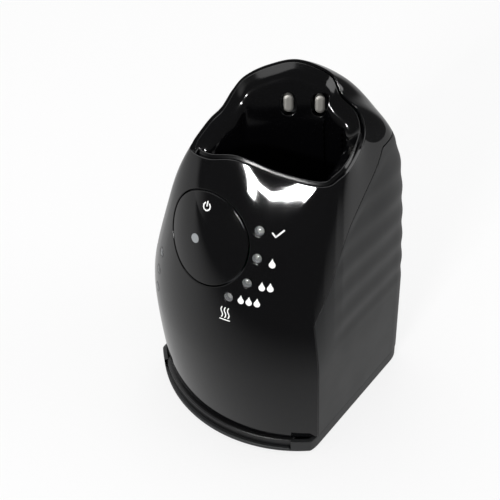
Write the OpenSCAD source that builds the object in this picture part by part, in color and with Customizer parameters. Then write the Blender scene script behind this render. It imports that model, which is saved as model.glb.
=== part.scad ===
// Shaver cleaning station: a base that holds a cleaning-fluid cartridge, and a sprung housing
// with a turned cradle, a round start button, indicator lamps, a pump and a drying fan.
// Front is -Y, +Z is up, and the origin is on the floor under the middle of the housing.

/* [Housing] */
// Width across the two front corners
body_w = 125; // [115:1:140]
// Width across the rear end
rear_w = 117; // [108:1:124]
// Distance from the origin to the front of the housing
nose_d = 59.5; // [56:0.5:66]
// Distance from the origin to the front corners
corner_d = 34; // [30:0.5:38]
// Distance from the origin to the back
rear_d = 64; // [60:0.5:72]
// Radius of the rear corners
rear_r = 16; // [12:0.5:20]
// Height of the top of the hood
hood_z = 212; // [205:1:225]
// Height of the lower edge of the housing
skirt_z = 10; // [9:0.5:12]
// Thickness of the two outer shells
shell_wall = 2.5; // [2:0.1:3]
// Gap in the seam between the two outer shells
seam_gap = 0.4; // [0.2:0.1:0.8]
// Height at which the seam leaves the front corner
seam_z = 95; // [85:1:105]
// How much higher the seam is at the back
seam_rise = 76; // [60:1:78]
// Height of one wave on the rear shell
wave_pitch = 17; // [12:1:24]
// Depth of the waves on the rear shell
wave_depth = 0.6; // [0.4:0.1:1.2]

/* [Cradle] */
// Turn of the cradle to the right of the front
cradle_turn = 43; // [38:1:46]
// Width of the shaped land inside the rim
land_w = 5; // [4:0.5:6]
// Drop of the land from the rim
land_drop = 3; // [2:0.5:4]
// Thickness of the cradle liner
liner_wall = 2; // [1.6:0.1:2.4]
// Long side of the cleaning dish
dish_w = 58; // [52:1:60]
// Short side of the cleaning dish
dish_d = 38; // [34:1:42]
// Middle of the dish from the origin, to the right
dish_x = 24; // [22:1:26]
// Middle of the dish from the origin, towards the front
dish_y = 7; // [5:1:9]
// Height of the rim of the dish
dish_top = 82; // [78:1:86]
// Depth of the dish
dish_depth = 18; // [14:1:20]

/* [Charging contacts] */
// Height of the contacts
pin_z = 191.5; // [187:0.5:193]
// Distance between the contacts
pin_pitch = 16; // [14:0.5:18]
// Place of the pair along the back wall
pin_u = 21.5; // [19:0.5:23]
// Width of a contact
pin_w = 5; // [4:0.5:6]
// Height of a contact
pin_h = 10; // [8:0.5:11]
// Travel of a contact
pin_travel = 1.5; // [1:0.1:1.8]

/* [Start button] */
// Diameter of the button
button_d = 52; // [46:0.5:53]
// Gap around the button
button_gap = 0.8; // [0.5:0.1:1.2]
// Distance of the button to the left of the middle
button_left = 4.5; // [3:0.5:6]
// Height of the middle of the button
button_z = 134.5; // [133:0.5:137]
// Thickness of the button cap
button_t = 2.6; // [2:0.1:3]
// Travel of the button
button_travel = 1.2; // [0.8:0.1:1.4]
// Rise of the button's middle over the curve of the shell
button_dome = 1.6; // [0:0.1:2]

/* [Lamps] */
// Diameter of a lamp lens
lens_d = 6.2; // [5.6:0.1:6.8]
// Gap around a lens
lens_gap = 0.1; // [0.05:0.05:0.2]
// Thickness of the control board
board_t = 1.6; // [1.2:0.1:2]
// Distance from the front surface back to the board
board_back = 15; // [14.5:0.5:15.5]

/* [Base] */
// How far the base stands out in front of the housing
lip_out = 5; // [4:0.5:7]
// Height of the front lip of the base
lip_z = 4; // [3.5:0.1:5]
// Thickness of the base floor
floor_t = 2.8; // [2.4:0.1:3]
// Thickness of the low wall round the base
kerb_t = 3; // [2.4:0.1:4]
// Width of the corner posts beside the cartridge
post_w = 10; // [8:0.5:13]
// Height that the feet raise the base
foot_z = 1.2; // [0.8:0.1:2]
// Diameter of a foot
foot_d = 14; // [10:1:18]
// Radius of a guide column
column_r = 5; // [4:0.5:6]
// Side distance of the guide columns from the middle
column_x = 44; // [42:0.5:45]
// Distance of the guide columns behind the origin
column_y = 48; // [46:0.5:50]
// Running fit of the columns in their bushes
column_fit = 0.1; // [0.05:0.01:0.15]
// Lift of the housing when it is released
lift = 44; // [42:1:46]

/* [Cartridge] */
// Width of the cartridge
cart_w = 92; // [84:1:96]
// Height of the top of the cartridge
cart_top = 49; // [44:1:50]
// Distance from the origin to the back of the cartridge
cart_rear = 24; // [16:1:28]
// Wall of the cartridge
cart_wall = 1.8; // [1.4:0.1:2.4]
// Radius of a port in the lid
port_r = 5; // [4:0.5:6]

/* [Drives] */
// Radius of the pump
pump_r = 17; // [15:0.5:18]
// Side distance of the pump from the middle
pump_x = 26; // [24:0.5:28]
// Radius of the pump motor
motor_r = 12; // [10:0.5:14]
// Radius of the fan wheel
fan_r = 15; // [12:0.5:16]
// Side distance of the fan from the middle
fan_x = 15; // [13:0.5:17]
// Height of the middle of the fan
fan_z = 80; // [78:1:84]

/* [Rear fittings] */
// Width of the lift button
lift_button_w = 28; // [22:1:34]
// Height of the lift button
lift_button_h = 15; // [12:1:18]
// Height of the middle of the lift button
lift_button_z = 84; // [80:1:88]
// Travel of the lift button
lift_button_travel = 2; // [1.5:0.1:2]
// Width of the power socket
socket_w = 16; // [14:0.5:20]
// Height of the power socket
socket_h = 10; // [8:0.5:12]
// Side distance of the power socket
socket_x = 26; // [24:1:28]
// Height of the middle of the power socket
socket_z = 34; // [30:1:40]

/* [Hidden] */
fit = 0.3;              // clearance between parts that are only placed side by side
deck_z = 54.5;          // underside of the chassis deck
deck_t = 2.5;           // thickness of the chassis deck
deck_top = deck_z + deck_t;
bush_h = 30;            // height of the bushes that run on the guide columns
bush_hold = 19.5;       // height of bush that is still on the columns when the housing is up
column_top = deck_z + lift + bush_hold;
q_end = 10;             // the outline runs from q = 0 at the nose, rightwards, to q = 10
front_fade = 0.3;       // share of the height at which the front corners start to soften
$fn = 48;

// ---------------------------------------------------------------- the outer form

// Control points of the cradle rim, one for each half step of q: x, y, and drop below the hood
RIM = [
    [4, -26.5, 35.2], [25, -19.5, 40], [46.5, -11, 42], [52, -2, 39], [52.5, 7, 36],
    [49.5, 18, 32.5], [44.5, 27, 29], [36.5, 31.5, 22], [27, 30, 15], [19.5, 30.5, 6],
    [4.5, 23, 0], [-7.5, 13, 2.5], [-15.5, 4, 7.5], [-19, -2, 14], [-20.5, -9, 21],
    [-22, -16, 24.5], [-23, -22, 28.5], [-24, -28, 33.5], [-22.5, -32, 37], [-10, -32.2, 37]
];
// How late the wall turns in towards the rim, at each whole q: a high number is a high shoulder
SHOULDER = [2.8, 3.2, 3.6, 9, 12, 10, 7, 4.6, 3.2, 3.0];
// Straight lean of the wall towards the rim; a negative share makes the wall belly out
LEAN = [-0.3, 0, 0.2, 0.07, 0.05, 0.04, 0.04, 0.05, -0.15, -0.34];
// Rise of the seam from the front corner to the back, in eight equal steps along the side
SEAM = [0, 0.2, 0.5, 0.64, 0.72, 0.8, 0.87, 0.94, 1];

// A smooth closed curve through the values of a list, at place t
function ring(a, t) =
    let (n = len(a), i = floor(t), f = t - i,
        p0 = a[(i - 1 + n) % n], p1 = a[i % n], p2 = a[(i + 1) % n], p3 = a[(i + 2) % n])
    (2 * p1 + (p2 - p0) * f + (2 * p0 - 5 * p1 + 4 * p2 - p3) * f * f
        + (3 * p1 - p0 - 3 * p2 + p3) * f * f * f) / 2;
function unit(v) = v / norm(v);
function mix(a, b, k) = a + (b - a) * k;
function smooth(k) = let (c = max(0, min(1, k))) c * c * (3 - 2 * c);

arc_sag = nose_d - corner_d;
arc_r = (pow(body_w / 2, 2) + pow(arc_sag, 2)) / (2 * arc_sag);
arc_a = asin(body_w / 2 / arc_r);
side_end = [rear_w / 2, rear_d - rear_r];

// Right half of the plan outline: front arc, side, rear corner, back
function half_plan(q) =
    q < 1 ? [arc_r * sin(arc_a * q), -nose_d + arc_r * (1 - cos(arc_a * q))]
    : q < 3 ? mix([body_w / 2, -corner_d], side_end, (q - 1) / 2)
    : q < 4 ? let (f = q - 3, end = [rear_w / 2 - rear_r, rear_d],
        mid = [rear_w / 2 - 0.03 * rear_r, rear_d - 0.03 * rear_r])
        side_end * pow(1 - f, 2) + 2 * mid * f * (1 - f) + end * f * f
    : [(rear_w / 2 - rear_r) * (5 - q), rear_d];
function turn_q(q) = q < 0 ? q + q_end : q >= q_end ? q - q_end : q;
function plan(q) =
    let (t = turn_q(q)) t <= q_end / 2 ? half_plan(t)
    : let (p = half_plan(q_end - t)) [-p[0], p[1]];
// The same outline with its corners eased
soft_reach = 0.55;
function soft_plan(q) =
    let (n = 3, list = [for (k = [-n : n]) plan(q + soft_reach * k / n)])
    [for (c = [0, 1]) [for (p = list) p[c]] * [for (p = list) 1] / len(list)];
function rim(q) = let (p = ring(RIM, 2 * turn_q(q))) [p[0], p[1], hood_z - p[2]];

// A point of the outer surface: q goes round, v goes from the lower edge (0) to the rim (1)
function skin(q, v) =
    let (t = turn_q(q), r = rim(t), n = ring(SHOULDER, t), d = ring(LEAN, t),
        b = mix(plan(t), soft_plan(t), smooth((v - front_fade) / 0.5)),
        h = d * v + (1 - d) * pow(max(v, 0), n))
    [b[0] + (r[0] - b[0]) * h, b[1] + (r[1] - b[1]) * h, skirt_z + (r[2] - skirt_z) * v];
step = 0.004;
function skin_normal(q, v) =
    unit(cross(skin(q + step, v) - skin(q - step, v), skin(q, v + step) - skin(q, v - step)));
function skin_in(q, v, depth) = skin(q, v) - depth * skin_normal(q, v);
// The same with the wall's end at the front crease parallel to the crease's own end face
function crease_q(q) = abs(q - 1) < 0.02 ? 1 : abs(q - q_end + 1) < 0.02 ? q_end - 1 : q;
function side_in(q, v, depth) = skin(q, v) - depth * skin_normal(crease_q(q), v);
function v_at(q, z) = (z - skirt_z) / (rim(q)[2] - skirt_z);
function seam_share(k) =
    let (n = len(SEAM) - 1, i = min(n - 1, floor(k * n))) mix(SEAM[i], SEAM[i + 1], k * n - i);
function seam_height(q) =
    let (t = turn_q(q), s = t > q_end / 2 ? q_end - t : t)
    seam_z + seam_rise * seam_share(max(0, min(1, (s - 1) / 2)));

// q of the front surface at side distance x and height z
function find_q(x, z, q = 0, k = 8) =
    k == 0 ? q
    : let (v = v_at(q, z), p = skin(q, v)[0], s = skin(q + 0.01, v)[0] - p)
        find_q(x, z, q + (x - p) * 0.01 / s, k - 1);
function front_at(x, z) = let (q = find_q(x, z)) skin(q, v_at(q, z));
function front_normal(x, z) = let (q = find_q(x, z)) skin_normal(q, v_at(q, z));

// ---------------------------------------------------------------- the cradle surface

function across(p) = [p[0] * cos(cradle_turn) + p[1] * sin(cradle_turn),
    -p[0] * sin(cradle_turn) + p[1] * cos(cradle_turn), p[2]];
// Level direction into the opening at place q of the rim, evened out over a stretch of it
rim_reach = 0.45;
function rim_in(q) = let (t = rim(q + rim_reach) - rim(q - rim_reach)) unit([-t[1], t[0], 0]);
cradle_mid = [14, 0];
function dish_edge(q, grow = 0) =
    let (r = rim(q), a = atan2(r[1] - cradle_mid[1], r[0] - cradle_mid[0]) - cradle_turn,
        u = (dish_w / 2 + grow) * cos(a), w = (dish_d / 2 + grow) * sin(a))
    [dish_x + u * cos(cradle_turn) - w * sin(cradle_turn),
        -dish_y + u * sin(cradle_turn) + w * cos(cradle_turn)];
land_edge = 1.2;        // height over which the land rounds into the wall
function land_start(q) = skin_in(q, 1, shell_wall + fit);
function land_end(q) = land_start(q) + rim_in(q) * land_w - [0, 0, land_drop];
function wall_start(q) = land_end(q) + rim_in(q) * land_edge - [0, 0, 2 * land_edge];
// A point of the liner's hidden face: w is 0 at the rim, 1 and 2 over the land, 3 at the dish
function cradle(q, w) =
    w <= 1 ? mix(land_start(q), land_end(q), w)
    : w <= 2 ? mix(land_end(q), wall_start(q), w - 1)
    : let (k = w - 2, a = wall_start(q), b = dish_edge(q), g = pow(k, 1.7))
        [a[0] + (b[0] - a[0]) * g, a[1] + (b[1] - a[1]) * g, a[2] + (dish_top - a[2]) * k];
// Normal of that face, away from the opening
function cradle_normal(q, w) =
    unit(cross(cradle(q, w + 0.02) - cradle(q, w - 0.02), cradle(q + 0.02, w) - cradle(q - 0.02, w)));

// q and w of the back wall at place u across the cradle and height z
function back_w(q, z) = 2 + (wall_start(q)[2] - z) / (wall_start(q)[2] - dish_top);
function find_back(u, z, q = 5, k = 8) =
    k == 0 ? q
    : let (p = across(cradle(q, back_w(q, z)))[0],
        s = across(cradle(q + 0.01, back_w(q + 0.01, z)))[0] - p)
        find_back(u, z, q + (u - p) * 0.01 / s, k - 1);
function cradle_at(u, z) = let (q = find_back(u, z)) cradle(q, back_w(q, z));
function pin_place(side) = cradle_at(pin_u + side * pin_pitch / 2, pin_z);

// ---------------------------------------------------------------- building helpers

function quad(a, b, c, d) = [[a, b, c], [a, c, d]];
// A solid sheet between two point grids; keep(i, j) says which cells it has
module sheet(nc, nr, closed, outer, inner, keep) {
    across_n = closed ? nc : nc + 1;
    function id(i, j, s) = (s * (nr + 1) + j) * across_n + (closed ? (i + nc) % nc : i);
    function has(i, j) =
        j >= 0 && j < nr && (closed || (i >= 0 && i < nc)) && keep((i + nc) % nc, j);
    points = [for (f = [outer, inner]) for (j = [0 : nr]) for (i = [0 : across_n - 1]) f(i, j)];
    faces = [for (i = [0 : nc - 1]) for (j = [0 : nr - 1]) if (has(i, j)) each concat(
        quad(id(i, j, 0), id(i, j + 1, 0), id(i + 1, j + 1, 0), id(i + 1, j, 0)),
        quad(id(i, j, 1), id(i + 1, j, 1), id(i + 1, j + 1, 1), id(i, j + 1, 1)),
        has(i - 1, j) ? [] : quad(id(i, j, 1), id(i, j + 1, 1), id(i, j + 1, 0), id(i, j, 0)),
        has(i + 1, j) ? []
            : quad(id(i + 1, j, 0), id(i + 1, j + 1, 0), id(i + 1, j + 1, 1), id(i + 1, j, 1)),
        has(i, j - 1) ? [] : quad(id(i, j, 1), id(i, j, 0), id(i + 1, j, 0), id(i + 1, j, 1)),
        has(i, j + 1) ? []
            : quad(id(i + 1, j + 1, 1), id(i + 1, j + 1, 0), id(i, j + 1, 0), id(i, j + 1, 1)))];
    polyhedron(points, faces, convexity = 10);
}
// Places its children with +Z along direction n, at point p
module along(p, n) {
    translate(p) rotate([0, acos(n[2]), atan2(n[1], n[0])]) children();
}
module tube(r_out, r_in, h) {
    difference() {
        cylinder(r = r_out, h = h);
        translate([0, 0, -1]) cylinder(r = r_in, h = h + 2);
    }
}
module box(w, d, h) {
    translate([-w / 2, -d / 2, 0]) cube([w, d, h]);
}
// A slotless pan-head screw: head below z = 0, shank above
module screw(head_r, head_h, r, h) {
    union() {
        translate([0, 0, -head_h]) cylinder(r = head_r, h = head_h);
        translate([0, 0, -0.1]) cylinder(r = r, h = h + 0.1);
    }
}
// Vertical prism of the plan outline, with the front arc moved forward and all of it drawn in
PLAN_STEPS = concat([for (k = [0 : 8]) k / 8], [for (k = [1 : 4]) 1 + k / 2],
    [for (k = [1 : 6]) 3 + k / 6]);
PLAN_Q = concat(PLAN_STEPS, [5], [for (k = [len(PLAN_STEPS) - 1 : -1 : 1]) q_end - PLAN_STEPS[k]]);
function moved_plan(q, forward, inset) =
    let (p = plan(q), f = 1 - smooth((p[1] + corner_d) / 1),
        t = plan(q + 0.01) - plan(q - 0.01), n = unit([t[1], -t[0]]))
    [p[0] - n[0] * inset, p[1] - n[1] * inset - forward * f];
module plan_prism(forward, inset, z, h) {
    translate([0, 0, z]) linear_extrude(h)
        polygon([for (q = PLAN_Q) moved_plan(q, forward, inset)]);
}

// ---------------------------------------------------------------- outer shells

FRONT_N = 8;            // columns on each half of the front arc
SIDE_N = 8;             // columns on each side
CORNER_N = 5;           // columns on each rear corner
BACK_N = 4;             // columns on each half of the back
HALF_Q = concat([for (k = [0 : FRONT_N - 1]) k / FRONT_N],
    [for (k = [0 : SIDE_N - 1]) 1 + 2 * k / SIDE_N],
    [for (k = [0 : CORNER_N - 1]) 3 + k / CORNER_N], [for (k = [0 : BACK_N - 1]) 4 + k / BACK_N]);
ALL_Q = concat(HALF_Q, [5], [for (k = [len(HALF_Q) - 1 : -1 : 1]) q_end - HALF_Q[k]]);
LOW_ROWS = 5;           // rows below the height of the seam
TOP_ROWS = 9;           // rows from there to the rim
function row_v(q, j) =
    let (s = v_at(q, seam_height(q)))
    j <= LOW_ROWS ? s * j / LOW_ROWS
    : mix(s, 1, 1 - pow(1 - (j - LOW_ROWS) / TOP_ROWS, 1.5));
function in_front(q) = q < 1 - step || q > q_end - 1 - step;

button_p = front_at(-button_left, button_z);
button_n = front_normal(-button_left, button_z);
PROGRAM_AT = [[24.5, 146.5], [26.5, 132.5], [24, 118.5], [15.5, 108]];   // x and z of the program lamps
LEVEL_AT = [[-43, 104], [-46.5, 90], [-48.5, 76]];                       // x and z of the level lamps
level_p = front_at(LEVEL_AT[1][0], LEVEL_AT[1][1]);
level_n = front_normal(LEVEL_AT[1][0], LEVEL_AT[1][1]);
level_tilt = 11;        // lean of the row of level lamps
level_back = 8;         // distance from the surface back to the level board
LEVEL_BOSS_AT = [-21.4, 21.4];
// Board screws on the button's own plane, as side distance and height
BOSS_AT = [[-30.5, 10], [-30.5, -6], [-6, -34], [37, -17]];
boss_r = 3;
boss_hole_r = 1.2;
screw_clear = 0.05;
shell_boss_in = 5.2;    // depth of the middle of a chassis boss behind the front surface
shell_boss_r = 4;
shell_boss_h = 14;
shell_boss_x = 36;
// Bosses of the front shell over the chassis, grown into its inner face
SHELL_BOSS_AT = [for (x = [-shell_boss_x, shell_boss_x])
    let (z = deck_top + shell_boss_h / 2, p = front_at(x, z) - shell_boss_in * front_normal(x, z))
        [p[0], p[1]]];

// Right and up on the plane with normal n
function right_of(n) = unit(cross([0, 0, 1], n));
function up_of(n) = cross(n, right_of(n));
// How far the outer surface lies behind the plane at p, at place b on that plane
function fall(p, n, b) =
    let (a = p + b[0] * right_of(n) + b[1] * up_of(n), k = (a - front_at(a[0], a[2])) * n,
        c = a - k * n) (p - front_at(c[0], c[2])) * n;
// Places its children on the plane of the button, or of the level lamps, at height h over it
module on_button(h) {
    along(button_p, button_n) rotate(90) translate([0, 0, h]) children();
}
module on_level(h) {
    along(level_p, level_n) rotate(90 - level_tilt) translate([0, 0, h]) children();
}

module front_shell() {
    color("#111214") difference() {
        union() {
            sheet(len(ALL_Q), LOW_ROWS + TOP_ROWS, true,
                function(i, j) skin(ALL_Q[i], row_v(ALL_Q[i], j)),
                function(i, j) skin_in(ALL_Q[i], row_v(ALL_Q[i], j), shell_wall),
                function(i, j) j >= LOW_ROWS || in_front(ALL_Q[i]));
            for (b = BOSS_AT) on_button(-board_back + 0.02) translate(b)
                cylinder(r = boss_r, h = board_back - 0.02 - fall(button_p, button_n, b) - shell_wall / 2);
            for (b = LEVEL_BOSS_AT) on_level(-level_back + 0.02) translate([0, b])
                cylinder(r = boss_r, h = level_back - shell_wall / 2 - 1);
            for (s = SHELL_BOSS_AT) translate([s[0], s[1], deck_top + fit])
                cylinder(r = shell_boss_r, h = shell_boss_h);
        }
        along(button_p, button_n) translate([0, 0, -20])
            cylinder(d = button_d + 2 * button_gap, h = 40, $fn = 96);
        for (p = concat(PROGRAM_AT, LEVEL_AT)) along(front_at(p[0], p[1]), front_normal(p[0], p[1]))
            translate([0, 0, -4]) cylinder(d = lens_d + 2 * lens_gap, h = 8);
        for (b = BOSS_AT) on_button(-board_back - 1) translate(b) cylinder(r = boss_hole_r, h = 5);
        for (b = LEVEL_BOSS_AT) on_level(-level_back - 1) translate([0, b]) cylinder(r = boss_hole_r, h = 5);
        for (s = SHELL_BOSS_AT) translate([s[0], s[1], deck_top]) cylinder(r = boss_hole_r, h = 9);
    }
}

// Waves of the rear shell, fading out towards its edges
WAVE_ROWS = 24;
wave_from = 62;         // height at which the waves begin
function wave(q, z) =
    let (t = q > q_end / 2 ? q_end - q : q,
        side = smooth((t - 1.25) / 0.5), low = smooth((z - wave_from) / wave_pitch),
        high = smooth((seam_height(q) - z) / 8))
    wave_depth * side * low * high * (1 - cos(360 * z / wave_pitch)) / 2;
q_gap = seam_gap / 42;  // seam gap as a step of q along the side, where one step is 42 mm
REAR_HALF = concat([1 + q_gap], [for (q = HALF_Q) if (q > 1 + q_gap) q]);
REAR_Q = concat(REAR_HALF, [5], [for (k = [len(REAR_HALF) - 1 : -1 : 0]) q_end - REAR_HALF[k]]);
function rear_v(q, j) = v_at(q, seam_height(q) - seam_gap) * j / WAVE_ROWS;
function rear_outer(q, j) =
    let (v = rear_v(q, j), p = skin(q, v)) p - wave(q, p[2]) * skin_normal(q, v);
REAR_BOSS_AT = [[-28, 56.5], [28, 56.5]];      // bosses of the rear shell over the chassis
rear_boss_r = 5.6;

module rear_shell() {
    color("#2b2c2e") difference() {
        union() {
            sheet(len(REAR_Q) - 1, WAVE_ROWS, false,
                function(i, j) rear_outer(REAR_Q[i], j),
                function(i, j) side_in(REAR_Q[i], rear_v(REAR_Q[i], j), shell_wall),
                function(i, j) true);
            for (s = REAR_BOSS_AT) translate([s[0], s[1], deck_top + fit])
                cylinder(r = rear_boss_r, h = shell_boss_h);
        }
        for (s = REAR_BOSS_AT) translate([s[0], s[1], deck_top]) cylinder(r = boss_hole_r, h = 9);
        translate([0, rear_d, lift_button_z - lift_button_h / 2 - fit])
            box(lift_button_w + 2 * fit, 14, lift_button_h + 2 * fit);
        translate([socket_x, rear_d, socket_z - socket_h / 2 - 0.2])
            box(socket_w + 0.4, 14, socket_h + 0.4);
    }
}

// ---------------------------------------------------------------- cradle

CRADLE_W = concat([0, 0.5, 1, 1.4, 2], [for (k = [1 : 7]) 2 + k / 7]);
liner_n = 44;
well_gap = 1.6;         // free space round a contact
module well_cut(side, grow) {
    p = pin_place(side);
    along([p[0], p[1], pin_z], face_dir) rotate(90) translate([0, 0, -12]) linear_extrude(24)
        oval(pin_w + 2 * grow, pin_h + 2 * grow);
}
// Upright oval with straight sides
module oval(w, h) {
    union() {
        for (s = [-1, 1]) translate([0, s * (h - w) / 2]) circle(d = w);
        square([w, h - w], center = true);
    }
}
face_dir = [sin(cradle_turn), -cos(cradle_turn), 0];   // the way the contacts point

module cradle_liner() {
    color("#0e0e10") difference() {
        liner_sheet();
        for (s = [-1, 1]) well_cut(s, well_gap);
    }
}
module liner_sheet() {
    sheet(liner_n, len(CRADLE_W) - 1, true,
        function(i, j) cradle(q_end * i / liner_n, CRADLE_W[len(CRADLE_W) - 1 - j]),
        function(i, j) let (q = q_end * i / liner_n, w = CRADLE_W[len(CRADLE_W) - 1 - j])
            cradle(q, w) - liner_wall * cradle_normal(q, w),
        function(i, j) true);
}
// Places its children behind the middle of the contacts, at distance h in front of the wall
module on_block(h) {
    along([wall_mid()[0], wall_mid()[1], pin_z], face_dir) rotate(90) translate([0, 0, h]) children();
}

dish_n = 40;
function dish_ring(grow) = [for (k = [0 : dish_n - 1]) let (a = 360 * k / dish_n)
    [(dish_w / 2 + grow) * cos(a), (dish_d / 2 + grow) * sin(a)]];
module at_dish(z) {
    translate([dish_x, -dish_y, z]) rotate(cradle_turn) children();
}
dish_wall = 2;
dish_lip = 2;           // how far the rim of the dish stands out
dish_rim = dish_top - 0.9;               // top of the dish, under the liner's edge
dish_floor = dish_top - dish_depth;      // upper face of the dish floor
drain_r = 9;
spigot_r = 3.2;                          // outside of both spigots over the cartridge
module cleaning_dish() {
    color("#1a1a1c") difference() {
        union() {
            at_dish(dish_floor - dish_wall) linear_extrude(dish_rim - dish_floor + dish_wall)
                polygon(dish_ring(0));
            at_dish(dish_rim - 2) linear_extrude(2) polygon(dish_ring(dish_lip));
            translate([nipple_x, -dish_y, deck_top + hose_z]) rotate([0, 90, 0])
                cylinder(r = 2, h = dish_left - nipple_x + 1.2);
        }
        translate([nipple_x - 1, -dish_y, deck_top + hose_z]) rotate([0, 90, 0])
            cylinder(r = 1.2, h = dish_left - nipple_x + 6);
        at_dish(dish_floor) linear_extrude(dish_depth + 1) polygon(dish_ring(-dish_wall));
        at_dish(dish_floor - dish_wall - 1) cylinder(r = spigot_r - 1.2, h = dish_wall + 2);
        at_dish(dish_floor - 0.8) cylinder(r = drain_r + 0.1, h = 2);
    }
}
module drain_sieve() {
    color("#8a8d90") difference() {
        at_dish(dish_floor - 0.7) cylinder(r = drain_r, h = 1);
        for (a = [0 : 45 : 315], r = [3.4, 6.6]) at_dish(dish_floor - 1.5)
            rotate(a + r) translate([r, 0, 0]) cylinder(r = 0.8, h = 3);
    }
}
seal_gap = 0.3;
module drain_spigot() {
    color("#3a3b3d") at_dish(cart_top + seal_gap)
        tube(spigot_r, spigot_r - 1.2, dish_floor - dish_wall - cart_top - seal_gap);
}

// ---------------------------------------------------------------- charging contacts

block_w = 30;
block_h = 16;
block_d = 7;
pin_out = 1.5;          // how far a contact stands out of the back wall
function pin_tip(side) = let (p = pin_place(side)) [p[0], p[1], pin_z] + face_dir * pin_out;
function wall_mid() = (pin_place(-1) + pin_place(1)) / 2;
block_back = 3.5 + pin_travel;           // distance from the back wall back to the block
stem_r = 1.8;
stem_l = 6;
POST_AT = [-4.6, 4.6];  // heights of the block's posts, which are bonded to the liner
post_r = 2.6;
// How far the wall at height b over the contacts lies behind the straight line between them
function wall_bow(b) = (wall_mid() - cradle_at(pin_u, pin_z + b)) * face_dir;
bond_gap = 0.5;         // thickness of the bond at the end of a post
module contact_block() {
    color("#26282a") difference() {
        union() {
            on_block(-block_back - block_d) box(block_w, block_h, block_d);
            for (b = POST_AT) on_block(-block_back - 0.1) translate([0, b])
                cylinder(r = post_r, h = block_back + 0.1 - bond_gap - wall_bow(b));
        }
        for (s = [-1, 1]) along(pin_tip(s), face_dir) {
            translate([0, 0, -30]) cylinder(r = stem_r + 0.1, h = 30);
            translate([0, 0, -pin_out - block_back - 3]) cylinder(r = stem_r + 1.2, h = 8);
        }
    }
}
module contact_pin(side) {
    color("silver") along(pin_tip(side), face_dir) union() {
        rotate(90) translate([0, 0, -3]) linear_extrude(3) oval(pin_w, pin_h);
        translate([0, 0, -3 - stem_l]) cylinder(r = stem_r, h = stem_l + 0.1);
    }
}
module contact_springs() {
    color("#b9bcc0") for (s = [-1, 1]) along(pin_tip(s), face_dir)
        translate([0, 0, -pin_out - block_back - 2.8]) tube(stem_r + 0.9, stem_r + 0.2, 6.1);
}

// ---------------------------------------------------------------- start button and lamps

switch_h = 3.5;
stem_gap = button_travel + 0.1;
stem_end = board_back - switch_h - stem_gap;     // depth of the end of the button's stem
neck_top = 5;           // depth of the front of the guide's neck
neck_end = stem_end - 1.2;
button_stem_r = 3;
BUTTON_GRID = [18, 14];    // columns and rows of the button's surface
module start_button() {
    color("#141416") union() {
        intersection() {
            sheet(BUTTON_GRID[0], BUTTON_GRID[1], false,
                function(i, j) button_skin(i, j, 0),
                function(i, j) button_skin(i, j, button_t),
                function(i, j) true);
            on_button(-20) cylinder(d = button_d, h = 40, $fn = 96);
        }
        on_button(-stem_end) cylinder(r = button_stem_r, h = stem_end - 1.5);
        on_button(-stem_end) cylinder(r = button_stem_r + 0.8, h = 1.1);
    }
}
module button_guide() {
    color("#e4e2da") difference() {
        union() {
            on_button(-board_back + 0.02) cylinder(r = 6.4, h = board_back - neck_end + 0.8);
            on_button(-board_back + 0.02) cylinder(r = 4.4, h = board_back - neck_top);
        }
        on_button(-board_back - 1) cylinder(r = 4.6, h = board_back - neck_end - 0.3);
        on_button(-board_back) cylinder(r = 4.4, h = board_back - neck_end);
        on_button(-board_back) cylinder(r = button_stem_r + 0.1, h = board_back);
    }
}
// The button's own patch of the front surface, a little larger than the button
BUTTON_Q = [-0.74, 0.52];
patch_h = button_d + 12;
function button_skin(i, j, depth) =
    let (q = mix(BUTTON_Q[0], BUTTON_Q[1], i / BUTTON_GRID[0]),
        z = button_z + patch_h * (j / BUTTON_GRID[1] - 0.5),
        p = skin_in(q, v_at(q, z), depth)) p + button_n * button_rise(p);
// Height of the button's dome over the shell at point p
function button_rise(p) =
    let (d = p - button_p, k = (d * d - pow(d * button_n, 2)) / pow(button_d / 2, 2))
    max(-0.2, button_dome * (1 - k));
lens_left = 9;          // distance of the button's lamp to the left of the middle
lens_shell_p = front_at(-lens_left, button_z - 1);
lens_p = lens_shell_p + button_n * button_rise(lens_shell_p);
lens_n = front_normal(-lens_left, button_z - 1);
module button_lens() {
    color("#9a9da0") along(lens_p, lens_n) translate([0, 0, 0.02]) cylinder(r = 2.6, h = 0.5);
}
module button_spring() {
    color("#b9bcc0") on_button(-neck_end + 0.9) tube(5.6, 4.7, neck_end - 0.9 - button_t - 0.3);
}
module button_switch() {
    color("#3c3d40") on_button(-board_back + 0.02) union() {
        box(6, 6, switch_h - 0.8);
        cylinder(r = 1.7, h = switch_h - 0.02);
    }
}
lens_flange = 1.2;
module lamp_lens(at, tint) {
    p = front_at(at[0], at[1]);
    n = front_normal(at[0], at[1]);
    color(tint) along(p, n) union() {
        translate([0, 0, -shell_wall]) cylinder(d = lens_d, h = shell_wall + 0.2);
        translate([0, 0, -shell_wall - fit - lens_flange]) cylinder(d = lens_d + 1.2, h = lens_flange);
        translate([0, 0, -shell_wall - fit - 0.1]) cylinder(d = lens_d - 1, h = fit + 0.2);
    }
}
// Depth of the back of a lens at place a, measured from the plane at p
function lens_depth(a, p, n) = (p - front_at(a[0], a[1])) * n + shell_wall + fit + lens_flange;
chip_gap = 1.8;         // free space between a chip and its lens
module chip(a, p, n, back) {
    m = front_at(a[0], a[1]) - front_normal(a[0], a[1]) * (shell_wall + fit + lens_flange) - p;
    along(p, n) rotate(90) translate([m * right_of(n), m * up_of(n), -back + 0.02])
        box(3.4, 3, back - lens_depth(a, p, n) - chip_gap);
}
module lamp_chips() {
    color("#e6e2d4") {
        for (a = PROGRAM_AT) chip(a, button_p, button_n, board_back);
        for (a = LEVEL_AT) chip(a, level_p, level_n, level_back);
    }
}
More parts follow.
